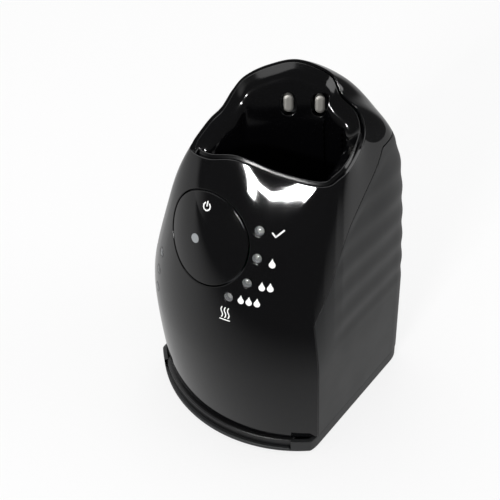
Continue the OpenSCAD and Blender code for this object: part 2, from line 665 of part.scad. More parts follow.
// Outline of the control board, with a notch for the cradle
BOARD_EDGE = [[-34, 17], [-34, -9], [-14, -38], [20, -38], [41, -22], [41, 17],
    [-3, 17], [-7, 3], [-18, 3], [-18, 17]];
module control_board() {
    color("#1f5c3a") on_button(-board_back - board_t) difference() {
        linear_extrude(board_t) polygon(BOARD_EDGE);
        for (b = BOSS_AT) translate([b[0], b[1], -1]) cylinder(r = boss_hole_r + 0.2, h = board_t + 2);
    }
}
module level_board() {
    color("#1f5c3a") on_level(-level_back - board_t) difference() {
        box(8, 2 * LEVEL_BOSS_AT[1] + 6, board_t);
        for (b = LEVEL_BOSS_AT) translate([0, b, -1]) cylinder(r = boss_hole_r + 0.2, h = board_t + 2);
    }
}
module small_screws() {
    color("#9aa0a6") {
        for (b = BOSS_AT) on_button(-board_back - board_t - 0.02) translate(b)
            screw(2.2, 1.2, boss_hole_r - screw_clear, board_t + 3);
        for (b = LEVEL_BOSS_AT) on_level(-level_back - board_t - 0.02) translate([0, b])
            screw(2.2, 1.2, boss_hole_r - screw_clear, board_t + 3);
    }
}

// ---------------------------------------------------------------- chassis, pump and fan

bush_r = 8;
lift_rest = 0.6;        // the lift button lies this far inside the back surface
plate_t = 3;            // thickness of the lift button's plate
plate_back = lift_rest + 0.8 + plate_t;  // distance from the back surface to the plate's inner face
bracket_t = 2.5;
// Front face of the latch bracket, which stops the lift button's plate
bracket_y = rear_d - plate_back - lift_button_travel - 0.1 - bracket_t;
hook_nose_z = 72;       // underside of the hook's nose
deck_gap = 1.8;         // free space between the deck and the shells at the base outline
module chassis() {
    color("#3a3b3d") difference() {
        union() {
            plan_prism(0, shell_wall + deck_gap, deck_z, deck_t);
            for (s = [-1, 1]) translate([s * column_x, column_y, deck_z]) cylinder(r = bush_r, h = bush_h);
            translate([0, bracket_y + bracket_t / 2, deck_z])
                box(34, bracket_t, lift_button_z + lift_button_h / 2 + 4 - deck_z);
            at_dish(deck_z) linear_extrude(dish_floor - dish_wall - fit - deck_z)
                polygon(dish_ring(-3));
        }
        for (s = [-1, 1]) translate([s * column_x, column_y, deck_z - 1])
            cylinder(r = column_r + column_fit, h = bush_h + 2);
        at_dish(deck_z - 1) cylinder(r = spigot_r + fit, h = 20);
        at_dish(deck_top) linear_extrude(20) polygon(dish_ring(-5.5));
        translate([-pump_x, -dish_y, deck_z - 1]) cylinder(r = spigot_r + fit, h = deck_t + 2);
        translate([0, bracket_y + 1, lift_button_z - plunger_w / 2 - fit])
            box(plunger_w + 2 * fit, 9, plunger_w + 2 * fit);
        translate([0, bracket_y, hook_nose_z - fit]) box(hook_w + 2 * fit, 12, 4.6);
        translate([0, hook_y, deck_z - 1]) box(hook_w + 2, hook_t + 5, deck_t + 2);
        for (s = concat(SHELL_BOSS_AT, REAR_BOSS_AT)) translate([s[0], s[1], deck_z - 1])
            cylinder(r = boss_hole_r + 0.2, h = deck_t + 2);
    }
}
module chassis_screws() {
    color("#9aa0a6") for (s = concat(SHELL_BOSS_AT, REAR_BOSS_AT))
        translate([s[0], s[1], deck_z - 0.02]) screw(2.6, 1.5, boss_hole_r - screw_clear, deck_t + 7);
}

module at_pump(z) {
    translate([-pump_x, -dish_y, z]) children();
}
pump_h = 15;
impeller_h = 6;
hose_z = 7;             // height of the delivery line over the deck
module pump_housing() {
    color("#55585c") difference() {
        union() {
            at_pump(deck_top + 0.02) cylinder(r = pump_r, h = pump_h);
            at_pump(deck_top + hose_z) rotate([0, 90, 0]) cylinder(r = 2, h = pump_r + 3.5);
        }
        at_pump(deck_top + 2) cylinder(r = pump_r - 2.5, h = pump_h - 4);
        at_pump(deck_top - 1) cylinder(r = spigot_r - 1.2, h = 4);
        at_pump(deck_top + pump_h - 4) cylinder(r = 2, h = 6);
    }
}
module pump_impeller() {
    color("#c9cbcc") union() {
        at_pump(deck_top + 3) cylinder(r = 4, h = impeller_h);
        at_pump(deck_top + 3) cylinder(r = pump_r - 5, h = 1.2);
        for (a = [0 : 60 : 300]) at_pump(deck_top + 3) rotate(a)
            translate([3, -0.7, 0]) cube([pump_r - 8.2, 1.4, impeller_h]);
        at_pump(deck_top + 3 + impeller_h - 0.1) cylinder(r = 1.2, h = pump_h - impeller_h + 3);
    }
}
module pump_motor() {
    color("#a5a8ab") difference() {
        union() {
            at_pump(deck_top + pump_h + 0.04) cylinder(r = motor_r, h = 26);
            at_pump(deck_top + pump_h + 26) cylinder(r = 4, h = 3);
        }
        at_pump(deck_top + pump_h - 1) cylinder(r = 1.3, h = 8);
    }
}
module suction_spigot() {
    color("#3a3b3d") at_pump(cart_top + seal_gap)
        tube(spigot_r, spigot_r - 1.2, deck_top - cart_top - seal_gap);
}
hose_from = -pump_x + pump_r + fit;
// Left edge of the dish, and its left edge beside its middle
dish_half = [dish_w / 2, dish_d / 2];
dish_reach = dish_x - norm([dish_half[0] * cos(cradle_turn), dish_half[1] * sin(cradle_turn)]);
dish_left = dish_x - 1 / norm([cos(cradle_turn) / dish_half[0], sin(cradle_turn) / dish_half[1]]);
nipple_x = dish_reach - 3.8;
module delivery_hose() {
    color("#d8dcd9") translate([hose_from, -dish_y, deck_top + hose_z]) rotate([0, 90, 0])
        tube(3.4, 2.05, dish_reach - 0.3 - hose_from);
}

fan_y = 38;             // middle of the fan's depth
fan_w = 13;             // depth of the fan housing
module at_fan(back) {
    translate([-fan_x, fan_y + back, fan_z]) rotate([90, 0, 0]) children();
}
module fan_housing() {
    side = 2 * fan_r + 7;
    color("#4a4d50") difference() {
        union() {
            translate([-fan_x, fan_y, fan_z - side / 2]) box(side, fan_w, side);
            translate([-fan_x, fan_y, deck_top + 0.02]) box(20, fan_w, fan_z - side / 2 - deck_top);
        }
        at_fan(fan_w / 2 - 2) cylinder(r = fan_r + 1.2, h = fan_w);
        at_fan(fan_w / 2 + 1) cylinder(r = 4.2, h = 4);
        for (a = [0 : 60 : 300]) at_fan(fan_w / 2 + 1) rotate(a) translate([9.5, 0, 0])
            cylinder(r = 3, h = 4);
    }
}
module fan_wheel() {
    color("#1b1c1e") union() {
        at_fan(3.4) cylinder(r = 6, h = 7);
        for (a = [0 : 40 : 320]) at_fan(3.4) rotate(a)
            translate([5.5, -0.6, 0]) cube([fan_r - 5.7, 1.2, 7]);
        at_fan(6.5) cylinder(r = 1, h = 3.2);
    }
}
module fan_motor() {
    color("#7c8084") difference() {
        at_fan(fan_w / 2 + 7.4) cylinder(r = 4.1, h = 9.3);
        at_fan(fan_w / 2) cylinder(r = 1.1, h = 3.3);
    }
}
heater_d = 6;
heater_y = fan_y - fan_w / 2 - fit - heater_d / 2;
module heater() {
    color("#b08d57") difference() {
        translate([-fan_x, heater_y, fan_z - fan_r]) box(2 * fan_r, heater_d, 2 * fan_r);
        for (k = [-4 : 4]) translate([-fan_x + k * 3.2, heater_y + fit, fan_z - fan_r + 3])
            box(1.6, heater_d + 3, 2 * fan_r - 6);
    }
}

// ---------------------------------------------------------------- rear fittings

module power_socket() {
    color("#0f0f10") difference() {
        translate([socket_x, rear_d - 8.4, socket_z - socket_h / 2]) box(socket_w, 16, socket_h);
        translate([socket_x, rear_d - 4, socket_z - socket_h / 2 + 1.2])
            box(socket_w - 2.4, 14, socket_h - 2.4);
        for (s = [-1, 1]) translate([socket_x + s * 3.2, rear_d - 18, socket_z]) rotate([-90, 0, 0])
            cylinder(r = 1.2, h = 12);
    }
}
module socket_pins() {
    color("silver") for (s = [-1, 1]) translate([socket_x + s * 3.2, rear_d - 16.5, socket_z])
        rotate([-90, 0, 0]) cylinder(r = 1.18, h = 9.5);
}
plunger_w = 7;
module lift_button() {
    color("#1c1d1f") union() {
        translate([0, rear_d - plate_back + plate_t / 2, lift_button_z - lift_button_h / 2])
            box(lift_button_w, plate_t, lift_button_h);
        translate([0, bracket_y + 2, lift_button_z - plunger_w / 2])
            box(plunger_w, 2 * (rear_d - bracket_y - 2 - lift_rest - 3), plunger_w);
        translate([0, rear_d - lift_rest - 5, lift_button_z - plunger_w / 2])
            box(plunger_w, 4, plunger_w);
    }
}
module lift_button_spring() {
    color("#b9bcc0") translate([0, bracket_y + bracket_t + 0.1, lift_button_z]) rotate([-90, 0, 0])
        tube(6.6, 5.6, rear_d - lift_rest - 4 - bracket_y - bracket_t - 0.2);
}

// ---------------------------------------------------------------- base

hook_w = 12;
hook_t = 1.8;
hook_y = bracket_y - 2.4;
hook_reach = 1.4;       // how far the nose reaches into the bracket
kerb_z = skirt_z - fit;
floor_z = foot_z + floor_t;
column_foot = 9;
module base_tray() {
    bay_w = cart_w + 2 * fit;
    color("#2f3032") difference() {
        union() {
            difference() {
                plan_prism(lip_out, 0.3, foot_z, kerb_z - foot_z);
                plan_prism(lip_out, 0.3 + kerb_t, floor_z, 20);
                translate([0, -nose_d - lip_out, lip_z])
                    box(body_w - 2 * post_w, 2 * (nose_d - corner_d + lip_out + 4), 20);
            }
            for (s = [-1, 1]) translate([s * (bay_w / 2 + 1), (cart_rear - corner_d) / 2, floor_z - 0.1])
                box(2, cart_rear + corner_d, 24);
            translate([0, cart_rear + fit + 1, floor_z - 0.1]) box(bay_w + 4, 2, 24);
            for (s = [-1, 1]) translate([s * column_x, column_y, floor_z - 0.1])
                cylinder(r = column_foot, h = 4);
            translate([0, hook_y, floor_z - 0.1]) box(hook_w + 6, hook_t + 7, 12);
        }
        for (s = [-1, 1]) {
            translate([s * column_x, column_y, floor_z - 1]) cylinder(r = column_r + 0.05, h = 10);
            translate([s * column_x, column_y, 0]) cylinder(r = 1.6, h = 10);
            translate([s * column_x, column_y, 0]) cylinder(r = 3.6, h = foot_z + 1.5);
        }
        translate([0, hook_y, floor_z + 1]) box(hook_w + 0.1, hook_t + 0.1, 20);
        for (p = FOOT_AT) translate([p[0], p[1], 0]) cylinder(d = foot_d + 0.2, h = foot_z + 0.8);
    }
}
FOOT_AT = [[-40, -38], [40, -38], [-40, 34], [40, 34]];
module rubber_feet() {
    color("#3b3c3e") for (p = FOOT_AT) translate([p[0], p[1], 0]) cylinder(d = foot_d, h = foot_z + 0.78);
}
module guide_columns() {
    color("#c4c7ca") for (s = [-1, 1]) difference() {
        translate([s * column_x, column_y, floor_z - 0.98]) cylinder(r = column_r, h = column_top - floor_z);
        translate([s * column_x, column_y, floor_z - 2]) cylinder(r = 1.5, h = 14);
    }
}
module column_screws() {
    color("#9aa0a6") for (s = [-1, 1]) translate([s * column_x, column_y, foot_z + 1.48])
        screw(3.2, 1.4, 1.45, 10);
}
module lift_springs() {
    z = floor_z + 4;
    color("#b9bcc0") for (s = [-1, 1]) translate([s * column_x, column_y, z])
        tube(column_r + 2, column_r + 0.8, deck_z - z - 0.1);
}
module latch_hook() {
    color("#e4e2da") union() {
        translate([0, hook_y, floor_z + 1.05])
            box(hook_w, hook_t, lift_button_z + plunger_w / 2 - floor_z - 1.05);
        translate([0, (hook_y + bracket_y + hook_reach) / 2, hook_nose_z])
            box(hook_w, bracket_y + hook_reach - hook_y, 4);
    }
}

// ---------------------------------------------------------------- cartridge

cart_front = 56;        // distance from the origin to the front of the tall part
grip_front = 62;        // and to the front of the low grip
cart_z = floor_z + 0.2;
module front_cut(front, z, h) {
    translate([0, arc_r - front, z]) cylinder(r = arc_r, h = h, $fn = 128);
}
module cart_block(w, front, rear, z, h) {
    intersection() {
        translate([0, (rear - front) / 2, z]) box(w, rear + front, h);
        front_cut(front, z - 1, h + 2);
    }
}
module cartridge_body() {
    color("#17181a") difference() {
        union() {
            cart_block(cart_w, cart_front, cart_rear, cart_z, cart_top - 3 - cart_z);
            intersection() {
                cart_block(body_w - 2 * post_w - 1, grip_front, 0, lip_z + fit,
                    skirt_z - 0.6 - lip_z - fit);
                translate([0, -corner_d - 20, 0]) box(body_w, 27, 20);
            }
        }
        intersection() {
            cart_block(cart_w - 2 * cart_wall, cart_front - cart_wall, cart_rear - cart_wall,
                cart_z + 2, cart_top);
            translate([0, 0, cart_z + 2]) box(cart_w, 200, cart_top);
        }
    }
}
module cartridge_lid() {
    color("#24262a") difference() {
        cart_block(cart_w, cart_front, cart_rear, cart_top - 3, 3 - 0.02);
        for (x = [-pump_x, dish_x]) translate([x, -dish_y, cart_top - 4]) cylinder(r = port_r, h = 6);
    }
}
module port_seals() {
    color("#5a2f2c") for (x = [-pump_x, dish_x]) translate([x, -dish_y, cart_top - 3])
        tube(port_r - 0.02, 2, 2.9);
}
module cartridge_filter() {
    color("#d9d2b8") translate([dish_x, -dish_y - 2, cart_z + 2.05])
        box(34, 40, cart_top - 3 - cart_z - 2.1);
}

// ---------------------------------------------------------------- drawing

base_tray();
rubber_feet();
guide_columns();
column_screws();
lift_springs();
latch_hook();
cartridge_body();
cartridge_lid();
cartridge_filter();
port_seals();
front_shell();
rear_shell();
cradle_liner();
cleaning_dish();
drain_sieve();
drain_spigot();
contact_block();
contact_pin(-1);  // contact_pin_left
contact_pin(1);  // contact_pin_right
contact_springs();
start_button();
button_guide();
button_lens();
button_spring();
button_switch();
for (k = [0 : 3])
    lamp_lens(PROGRAM_AT[k], "#a8abad");
for (k = [0 : 2])
    lamp_lens(LEVEL_AT[k], "#8f9294");
lamp_chips();
control_board();
level_board();
small_screws();
chassis();
chassis_screws();
pump_housing();
pump_impeller();
pump_motor();
suction_spigot();
delivery_hose();
fan_housing();
fan_wheel();
fan_motor();
heater();
power_socket();
socket_pins();
lift_button();
lift_button_spring();
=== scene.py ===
"""Shaver cleaning station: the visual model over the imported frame, its materials and its studio."""

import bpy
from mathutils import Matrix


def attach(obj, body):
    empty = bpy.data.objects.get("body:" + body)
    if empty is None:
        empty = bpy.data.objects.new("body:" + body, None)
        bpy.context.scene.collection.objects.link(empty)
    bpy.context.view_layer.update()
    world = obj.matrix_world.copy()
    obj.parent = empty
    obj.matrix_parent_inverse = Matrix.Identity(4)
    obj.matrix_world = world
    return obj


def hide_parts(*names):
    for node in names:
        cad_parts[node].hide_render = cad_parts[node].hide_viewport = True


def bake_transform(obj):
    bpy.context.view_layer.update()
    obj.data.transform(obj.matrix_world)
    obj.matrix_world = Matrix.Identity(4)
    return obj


bl_info = {
    "name": "Shaver Cleaning Station",
    "version": (1, 0, 0),
    "blender": (4, 5, 0),
    "location": "View3D > Sidebar > Station",
    "description": "Builds the visual model of a shaver cleaning station over its packed frame",
    "category": "Object",
}

import math

import bpy
import numpy as np
from bpy.props import FloatProperty, IntProperty, PointerProperty
from mathutils import Matrix, Vector
from mathutils.geometry import delaunay_2d_cdt

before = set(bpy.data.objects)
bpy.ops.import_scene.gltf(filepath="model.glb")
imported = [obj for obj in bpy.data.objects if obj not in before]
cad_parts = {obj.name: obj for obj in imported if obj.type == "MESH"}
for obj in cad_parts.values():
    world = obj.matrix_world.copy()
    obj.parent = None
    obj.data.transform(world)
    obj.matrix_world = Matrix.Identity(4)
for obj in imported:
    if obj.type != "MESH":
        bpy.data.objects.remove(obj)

MM = 0.001

# ---------------------------------------------------------------- the outer form, in millimetres

BODY_W, REAR_W = 125.0, 117.0       # width across the front corners and across the back
NOSE_D, CORNER_D, REAR_D = 59.5, 34.0, 64.0
REAR_R = 16.0                       # radius of the rear corners
HOOD_Z, SKIRT_Z = 212.0, 10.0
WALL = 2.5                          # thickness of the two shells
SEAM_GAP = 0.4
SEAM_Z, SEAM_RISE = 95.0, 76.0
WAVE_PITCH, WAVE_DEPTH, WAVE_FROM = 17.0, 0.6, 62.0
FIT = 0.3
Q_END = 10.0                        # the outline runs from q = 0 at the nose, rightwards, to q = 10
TURN = math.radians(43)             # turn of the cradle to the right of the front
LAND_W, LAND_DROP, LAND_EDGE = 5.0, 3.0, 1.2
LINER_WALL = 2.0
DISH_W, DISH_D, DISH_X, DISH_Y, DISH_TOP, DISH_DEPTH = 58.0, 38.0, 24.0, 7.0, 82.0, 18.0
CRADLE_MID = (14.0, 0.0)
RIM_REACH = 0.45

# Control points of the cradle rim, one for each half step of q: x, y, and drop below the hood
RIM = np.array([
    [4, -26.5, 35.2], [25, -19.5, 40], [46.5, -11, 42], [52, -2, 39], [52.5, 7, 36],
    [49.5, 18, 32.5], [44.5, 27, 29], [36.5, 31.5, 22], [27, 30, 15], [19.5, 30.5, 6],
    [4.5, 23, 0], [-7.5, 13, 2.5], [-15.5, 4, 7.5], [-19, -2, 14], [-20.5, -9, 21],
    [-22, -16, 24.5], [-23, -22, 28.5], [-24, -28, 33.5], [-22.5, -32, 37], [-10, -32.2, 37],
])
# How late the wall turns in towards the rim, and its straight lean, at each whole q
SHOULDER = np.array([2.8, 3.2, 3.6, 9, 12, 10, 7, 4.6, 3.2, 3.0])[:, None]
LEAN = np.array([-0.3, 0, 0.2, 0.07, 0.05, 0.04, 0.04, 0.05, -0.15, -0.34])[:, None]
SEAM = np.array([0, 0.2, 0.5, 0.64, 0.72, 0.8, 0.87, 0.94, 1.0])

BUTTON_D, BUTTON_GAP, BUTTON_T = 52.0, 0.8, 2.6
BUTTON_AT = (-4.5, 134.5)
BUTTON_DOME = 1.6                   # rise of the button's middle over the shell's own curve
BUTTON_LENS_AT = (-9.0, 133.5)
COLLAR_DEPTH = 5.4                  # depth of the dark collar behind the gap round the button
LENS_D, LENS_GAP = 6.2, 0.1
PROGRAM_AT = [(24.5, 146.5), (26.5, 132.5), (24.0, 118.5), (15.5, 108.0)]
LEVEL_AT = [(-43.0, 104.0), (-46.5, 90.0), (-48.5, 76.0)]
PIN_Z, PIN_PITCH, PIN_U, PIN_W, PIN_H, PIN_OUT = 191.5, 16.0, 21.5, 5.0, 10.0, 1.5
WELL_GAP = 1.6

Z_AXIS = np.array([0.0, 0.0, 1.0])


def unit(v):
    return v / np.linalg.norm(v, axis=-1, keepdims=True)


def smooth(k):
    c = np.clip(k, 0, 1)
    return c * c * (3 - 2 * c)


def ring(rows, t):
    """A smooth closed curve through the rows, at places t."""
    n = len(rows)
    i = np.floor(t).astype(int)
    f = (t - i)[..., None]
    p0, p1, p2, p3 = (rows[(i + k) % n] for k in (-1, 0, 1, 2))
    return (
        2 * p1 + (p2 - p0) * f + (2 * p0 - 5 * p1 + 4 * p2 - p3) * f**2
        + (3 * p1 - p0 - 3 * p2 + p3) * f**3
    ) / 2


ARC_SAG = NOSE_D - CORNER_D
ARC_R = ((BODY_W / 2) ** 2 + ARC_SAG**2) / (2 * ARC_SAG)
ARC_A = math.asin(BODY_W / 2 / ARC_R)


def plan(q):
    """Plan outline of the housing at places q."""
    t = np.mod(q, Q_END)
    s = np.where(t > Q_END / 2, Q_END - t, t)
    arc = np.stack([ARC_R * np.sin(ARC_A * s), -NOSE_D + ARC_R * (1 - np.cos(ARC_A * s))], -1)
    corner, end = np.array([BODY_W / 2, -CORNER_D]), np.array([REAR_W / 2, REAR_D - REAR_R])
    side = corner + (end - corner) * ((s - 1) / 2)[..., None]
    mid = np.array([REAR_W / 2 - 0.03 * REAR_R, REAR_D - 0.03 * REAR_R])
    last = np.array([REAR_W / 2 - REAR_R, REAR_D])
    f = (s - 3)[..., None]
    bend = end * (1 - f) ** 2 + 2 * mid * f * (1 - f) + last * f**2
    back = np.stack([(REAR_W / 2 - REAR_R) * (5 - s), np.full_like(s, REAR_D)], -1)
    s = s[..., None]
    p = np.where(s < 1, arc, np.where(s < 3, side, np.where(s < 4, bend, back)))
    return p * np.stack([np.where(t > Q_END / 2, -1.0, 1.0), np.ones_like(t)], -1)


def rim(q):
    p = ring(RIM, 2 * np.mod(q, Q_END))
    return np.concatenate([p[..., :2], HOOD_Z - p[..., 2:]], -1)


def skin(q, v):
    """A point of the outer surface: q goes round, v from the lower edge (0) to the rim (1)."""
    t = np.mod(q, Q_END)
    r, n, d = rim(t), ring(SHOULDER, t), ring(LEAN, t)
    soft = sum(plan(t + 0.55 * k / 3) for k in range(-3, 4)) / 7
    v = v[..., None]
    b = plan(t)
    b = b + (soft - b) * smooth((v - 0.3) / 0.5)
    h = d * v + (1 - d) * np.maximum(v, 0) ** n
    return np.concatenate([b + (r[..., :2] - b) * h, SKIRT_Z + (r[..., 2:] - SKIRT_Z) * v], -1)


def normal(surface, a, b, step):
    """Unit normal of a surface of two parameters, outwards where a goes right and b up."""
    da = surface(a + step, b) - surface(a - step, b)
    db = surface(a, b + step) - surface(a, b - step)
    return unit(np.cross(da, db))


def seam_height(q):
    t = np.mod(q, Q_END)
    s = np.clip((np.where(t > Q_END / 2, Q_END - t, t) - 1) / 2, 0, 1) * 8
    even = sum(np.interp(s + k / 4, np.arange(9), SEAM) for k in (-1, 0, 1)) / 3
    return SEAM_Z + SEAM_RISE * np.where(s < 0.25, np.interp(s, np.arange(9), SEAM), even)


def v_at(q, z):
    return (z - SKIRT_Z) / (rim(q)[..., 2] - SKIRT_Z)


def rear_skin(q, v):
    """The outer surface with the soft level waves of the rear shell."""
    p, n = skin(q, v), normal(skin, q, v, 0.004)
    t = np.mod(q, Q_END)
    t = np.where(t > Q_END / 2, Q_END - t, t)
    z = p[..., 2]
    fade = smooth((t - 1.25) / 0.5) * smooth((z - WAVE_FROM) / WAVE_PITCH)
    fade = fade * smooth((seam_height(q) - z) / 8)
    depth = WAVE_DEPTH * fade * (1 - np.cos(2 * np.pi * z / WAVE_PITCH)) / 2
    return p - depth[..., None] * n


def cradle(q, w):
    """The liner's hidden face: w is 0 at the rim, 1 and 2 over the land, and 3 at the dish."""
    one = np.ones_like(q)
    t = rim(q + RIM_REACH) - rim(q - RIM_REACH)
    inwards = unit(np.stack([-t[..., 1], t[..., 0], 0 * q], -1))
    start = skin(q, one) - (WALL + FIT) * normal(skin, q, one, 0.004)
    land = start + inwards * LAND_W - LAND_DROP * Z_AXIS
    wall = land + inwards * LAND_EDGE - 2 * LAND_EDGE * Z_AXIS
    r = rim(q)
    a = np.arctan2(r[..., 1] - CRADLE_MID[1], r[..., 0] - CRADLE_MID[0]) - TURN
    u, s = DISH_W / 2 * np.cos(a), DISH_D / 2 * np.sin(a)
    c, d = math.cos(TURN), math.sin(TURN)
    dish = np.stack([DISH_X + u * c - s * d, -DISH_Y + u * d + s * c, DISH_TOP + 0 * u], -1)
    w = w[..., None]
    k = np.clip(w - 2, 0, None)
    g = np.concatenate([k**1.7, k**1.7, k], -1)
    return np.where(
        w <= 1, start + (land - start) * w,
        np.where(w <= 2, land + (wall - land) * (w - 1), wall + (dish - wall) * g),
    )


# Flat maps of the surfaces, with one unit near one millimetre
Q_UNIT, V_UNIT, CRADLE_UNIT = 45.0, 165.0, 25.0
CRADLE_ROWS = np.array([0.0, 6.0, 9.0, 109.0])


def front_map(x, y):
    return skin(x / Q_UNIT, y / V_UNIT)


def rear_map(x, y):
    return rear_skin(x / Q_UNIT, y / V_UNIT)


def cradle_back(x, y):
    """The liner's hidden face with its two bends rounded; its normal faces into the opening."""
    q = x / CRADLE_UNIT
    parts = [np.interp(np.clip(y + k, 0, None), CRADLE_ROWS, range(4)) for k in (-1.4, -0.7, 0, 0.7, 1.4)]
    soft = sum(cradle(q, w) for w in parts) / len(parts)
    edge = smooth(y / 1.5)[..., None]
    return soft * edge + cradle(q, np.interp(y, CRADLE_ROWS, range(4))) * (1 - edge)


def cradle_map(x, y):
    """The liner's visible face."""
    return cradle_back(x, y) + LINER_WALL * normal(cradle_back, x, y, 0.1)


def plane_axes(n):
    """Right and up on the plane with normal n."""
    right = unit(np.cross(Z_AXIS, n))
    return right, np.cross(n, right)


def locate(surface, p, n, spots, start):
    """Map places where the surface lies over these spots, given as right and up on the plane."""
    right, up = plane_axes(n)
    w = np.tile(np.array(start, float), (len(spots), 1))
    for _ in range(14):
        e = surface(w[:, 0], w[:, 1]) - p
        miss = np.asarray(spots) - np.stack([e @ right, e @ up], -1)
        da = surface(w[:, 0] + 0.1, w[:, 1]) - p - e
        db = surface(w[:, 0], w[:, 1] + 0.1) - p - e
        j = np.stack([np.stack([da @ right, db @ right], -1), np.stack([da @ up, db @ up], -1)], -2)
        w += np.clip(np.linalg.solve(j / 0.1, miss[..., None])[..., 0], -25, 25)
    return w


def front_spot(x, z):
    """Map place, point and normal of the front surface at side distance x and height z."""
    w = locate(front_map, np.array([x, 0, z]), -np.array([0, 1.0, 0]), [(0, 0)], (x * 0.7, z - 20))[0]
    a, b = np.array([w[0]]), np.array([w[1]])
    return w, front_map(a, b)[0], normal(front_map, a, b, 0.1)[0]


BUTTON_W, BUTTON_P, BUTTON_N = front_spot(*BUTTON_AT)

# ---------------------------------------------------------------- mesh tools


class Solid:
    """Faces with their own corner normals, in millimetres, that become one closed mesh."""

    def __init__(self):
        self.co, self.no, self.faces, self.count = [], [], [], 0

    def add(self, co, no, faces):
        co = np.asarray(co, float).reshape(-1, 3)
        self.co.append(co)
        self.no.append(np.broadcast_to(np.reshape(no, (-1, 3)), co.shape))
        self.faces += (np.asarray(faces) + self.count).tolist()
        self.count += len(co)

    def grid(self, co, no, closed=True, flip=False):
        """Quads over a grid of points; the normal faces out where rows go right and columns up."""
        nr, nc = co.shape[:2]
        i, j = np.meshgrid(np.arange(nr if closed else nr - 1), np.arange(nc - 1), indexing="ij")
        k = (i + 1) % nr
        f = np.stack([i * nc + j, k * nc + j, k * nc + j + 1, i * nc + j + 1], -1).reshape(-1, 4)
        self.add(co, np.broadcast_to(no, co.shape), f[:, ::-1] if flip else f)

    def sweep(self, outline, profile, place, caps=(True, True)):
        """Carries a profile of (outward offset, height) round a closed outline."""
        (op, on), (pp, pn) = outline, profile
        xy = op[:, None] + on[:, None] * pp[None, :, :1]
        co = np.concatenate([xy, np.broadcast_to(pp[None, :, 1:], xy.shape[:2] + (1,))], -1)
        no = np.concatenate([on[:, None] * pn[None, :, :1],
                             np.broadcast_to(pn[None, :, 1:], xy.shape[:2] + (1,))], -1)
        origin, axes = place
        self.grid(origin + co @ axes, no @ axes)
        for end, side in ((0, -1), (-1, 1)):
            if caps[end]:
                face = np.arange(len(op))[::side]
                self.add(origin + co[:, end] @ axes, side * axes[2], face[None])

    def make(self, name, material, body, replaces=(), slot=None, blend=None):
        co, no = np.concatenate(self.co), np.concatenate(self.no)
        _, first, same = np.unique(np.round(co * 2e3), axis=0, return_index=True, return_inverse=True)
        same = same.reshape(-1)
        faces, normals = [], []
        for f in self.faces:
            kept = [i for k, i in enumerate(f) if same[i] != same[f[k - 1]]]
            if len(set(same[kept])) == len(kept) > 2:
                faces.append(same[kept].tolist())
                normals += no[kept].tolist()
        mesh = bpy.data.meshes.new(name)
        mesh.from_pydata(co[first] * MM, [], faces)
        mesh.polygons.foreach_set("use_smooth", [True] * len(faces))
        mesh.normals_split_custom_set(normals)
        mesh.materials.append(material)
        piece = bpy.data.objects.new(name, mesh)
        bpy.context.scene.collection.objects.link(piece)
        if blend:
            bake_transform(piece)
        else:
            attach(piece, body)
        if replaces:
            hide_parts(*replaces)
        return piece


def rounded(points, radii=0.0, closed=False, steps=5):
    """A flat path with rounded corners, and its normals on the right-hand side."""
    pts = np.array(points, float)
    n = len(pts)
    radii = np.broadcast_to(radii, n)
    out, nor = [], []
    for i in range(n):
        d0 = unit(pts[i] - pts[i - 1]) if closed or i else None
        d1 = unit(pts[(i + 1) % n] - pts[i]) if closed or i < n - 1 else None
        n0, n1 = (None if d is None else np.array([d[1], -d[0]]) for d in (d0, d1))
        if d0 is None or d1 is None:
            out.append(pts[i])
            nor.append(n1 if d0 is None else n0)
            continue
        bend = math.atan2(d0[0] * d1[1] - d0[1] * d1[0], d0 @ d1)
        if radii[i] <= 0 or abs(bend) < 1e-4:
            out += [pts[i], pts[i]]
            nor += [n0, n1]
            continue
        side = math.copysign(1, bend)
        middle = pts[i] - d0 * radii[i] * math.tan(abs(bend) / 2) - side * n0 * radii[i]
        for k in range(steps + 1):
            c, s = math.cos(bend * k / steps), math.sin(bend * k / steps)
            m = np.array([n0[0] * c - n0[1] * s, n0[0] * s + n0[1] * c])
            out.append(middle + side * m * radii[i])
            nor.append(m)
    return np.array(out), np.array(nor)


def circle(steps=64):
    """Outline of zero size whose offset is a radius."""
    a = np.linspace(0, 2 * np.pi, steps, endpoint=False)
    m = np.stack([np.cos(a), np.sin(a)], -1)
    return 0 * m, m


def rectangle(w, h, r, steps=6):
    return rounded([(-w / 2, -h / 2), (w / 2, -h / 2), (w / 2, h / 2), (-w / 2, h / 2)], r, True, steps)


def dome(r, low, high, steps=10):
    """Profile from radius r at height low up to the axis at height high."""
    rise = high - low
    big = (r * r + rise * rise) / (2 * rise)
    a = np.linspace(math.asin(min(1, r / big)), 0.0, steps)
    n = np.stack([np.sin(a), np.cos(a)], -1)
    return n * big + (0, high - big), n


def join(*paths):
    return np.concatenate([p[0] for p in paths]), np.concatenate([p[1] for p in paths])


def on_plane(p, n, h=0.0):
    right, up = plane_axes(n)
    return np.asarray(p, float) + h * n, np.array([right, up, n])


def upright(x, y, z=0.0, turn=0.0):
    c, s = math.cos(turn), math.sin(turn)
    return np.array([x, y, z], float), np.array([[c, s, 0], [-s, c, 0], [0, 0, 1.0]])


def inside(loops, at):
    """Which points lie inside the loops, by the even-odd rule."""
    hit = np.zeros(len(at), bool)
    for loop in loops:
        a, b = loop, np.roll(loop, -1, 0)
        for k in range(0, len(at), 4000):
            x, y = at[k : k + 4000, :1], at[k : k + 4000, 1:]
            cut = (a[:, 1] > y) != (b[:, 1] > y)
            rise = np.where(b[:, 1] == a[:, 1], 1, b[:, 1] - a[:, 1])
            edge = a[:, 0] + (y - a[:, 1]) * (b[:, 0] - a[:, 0]) / rise
            hit[k : k + 4000] ^= (np.sum(cut & (x < edge), 1) % 2).astype(bool)
    return hit


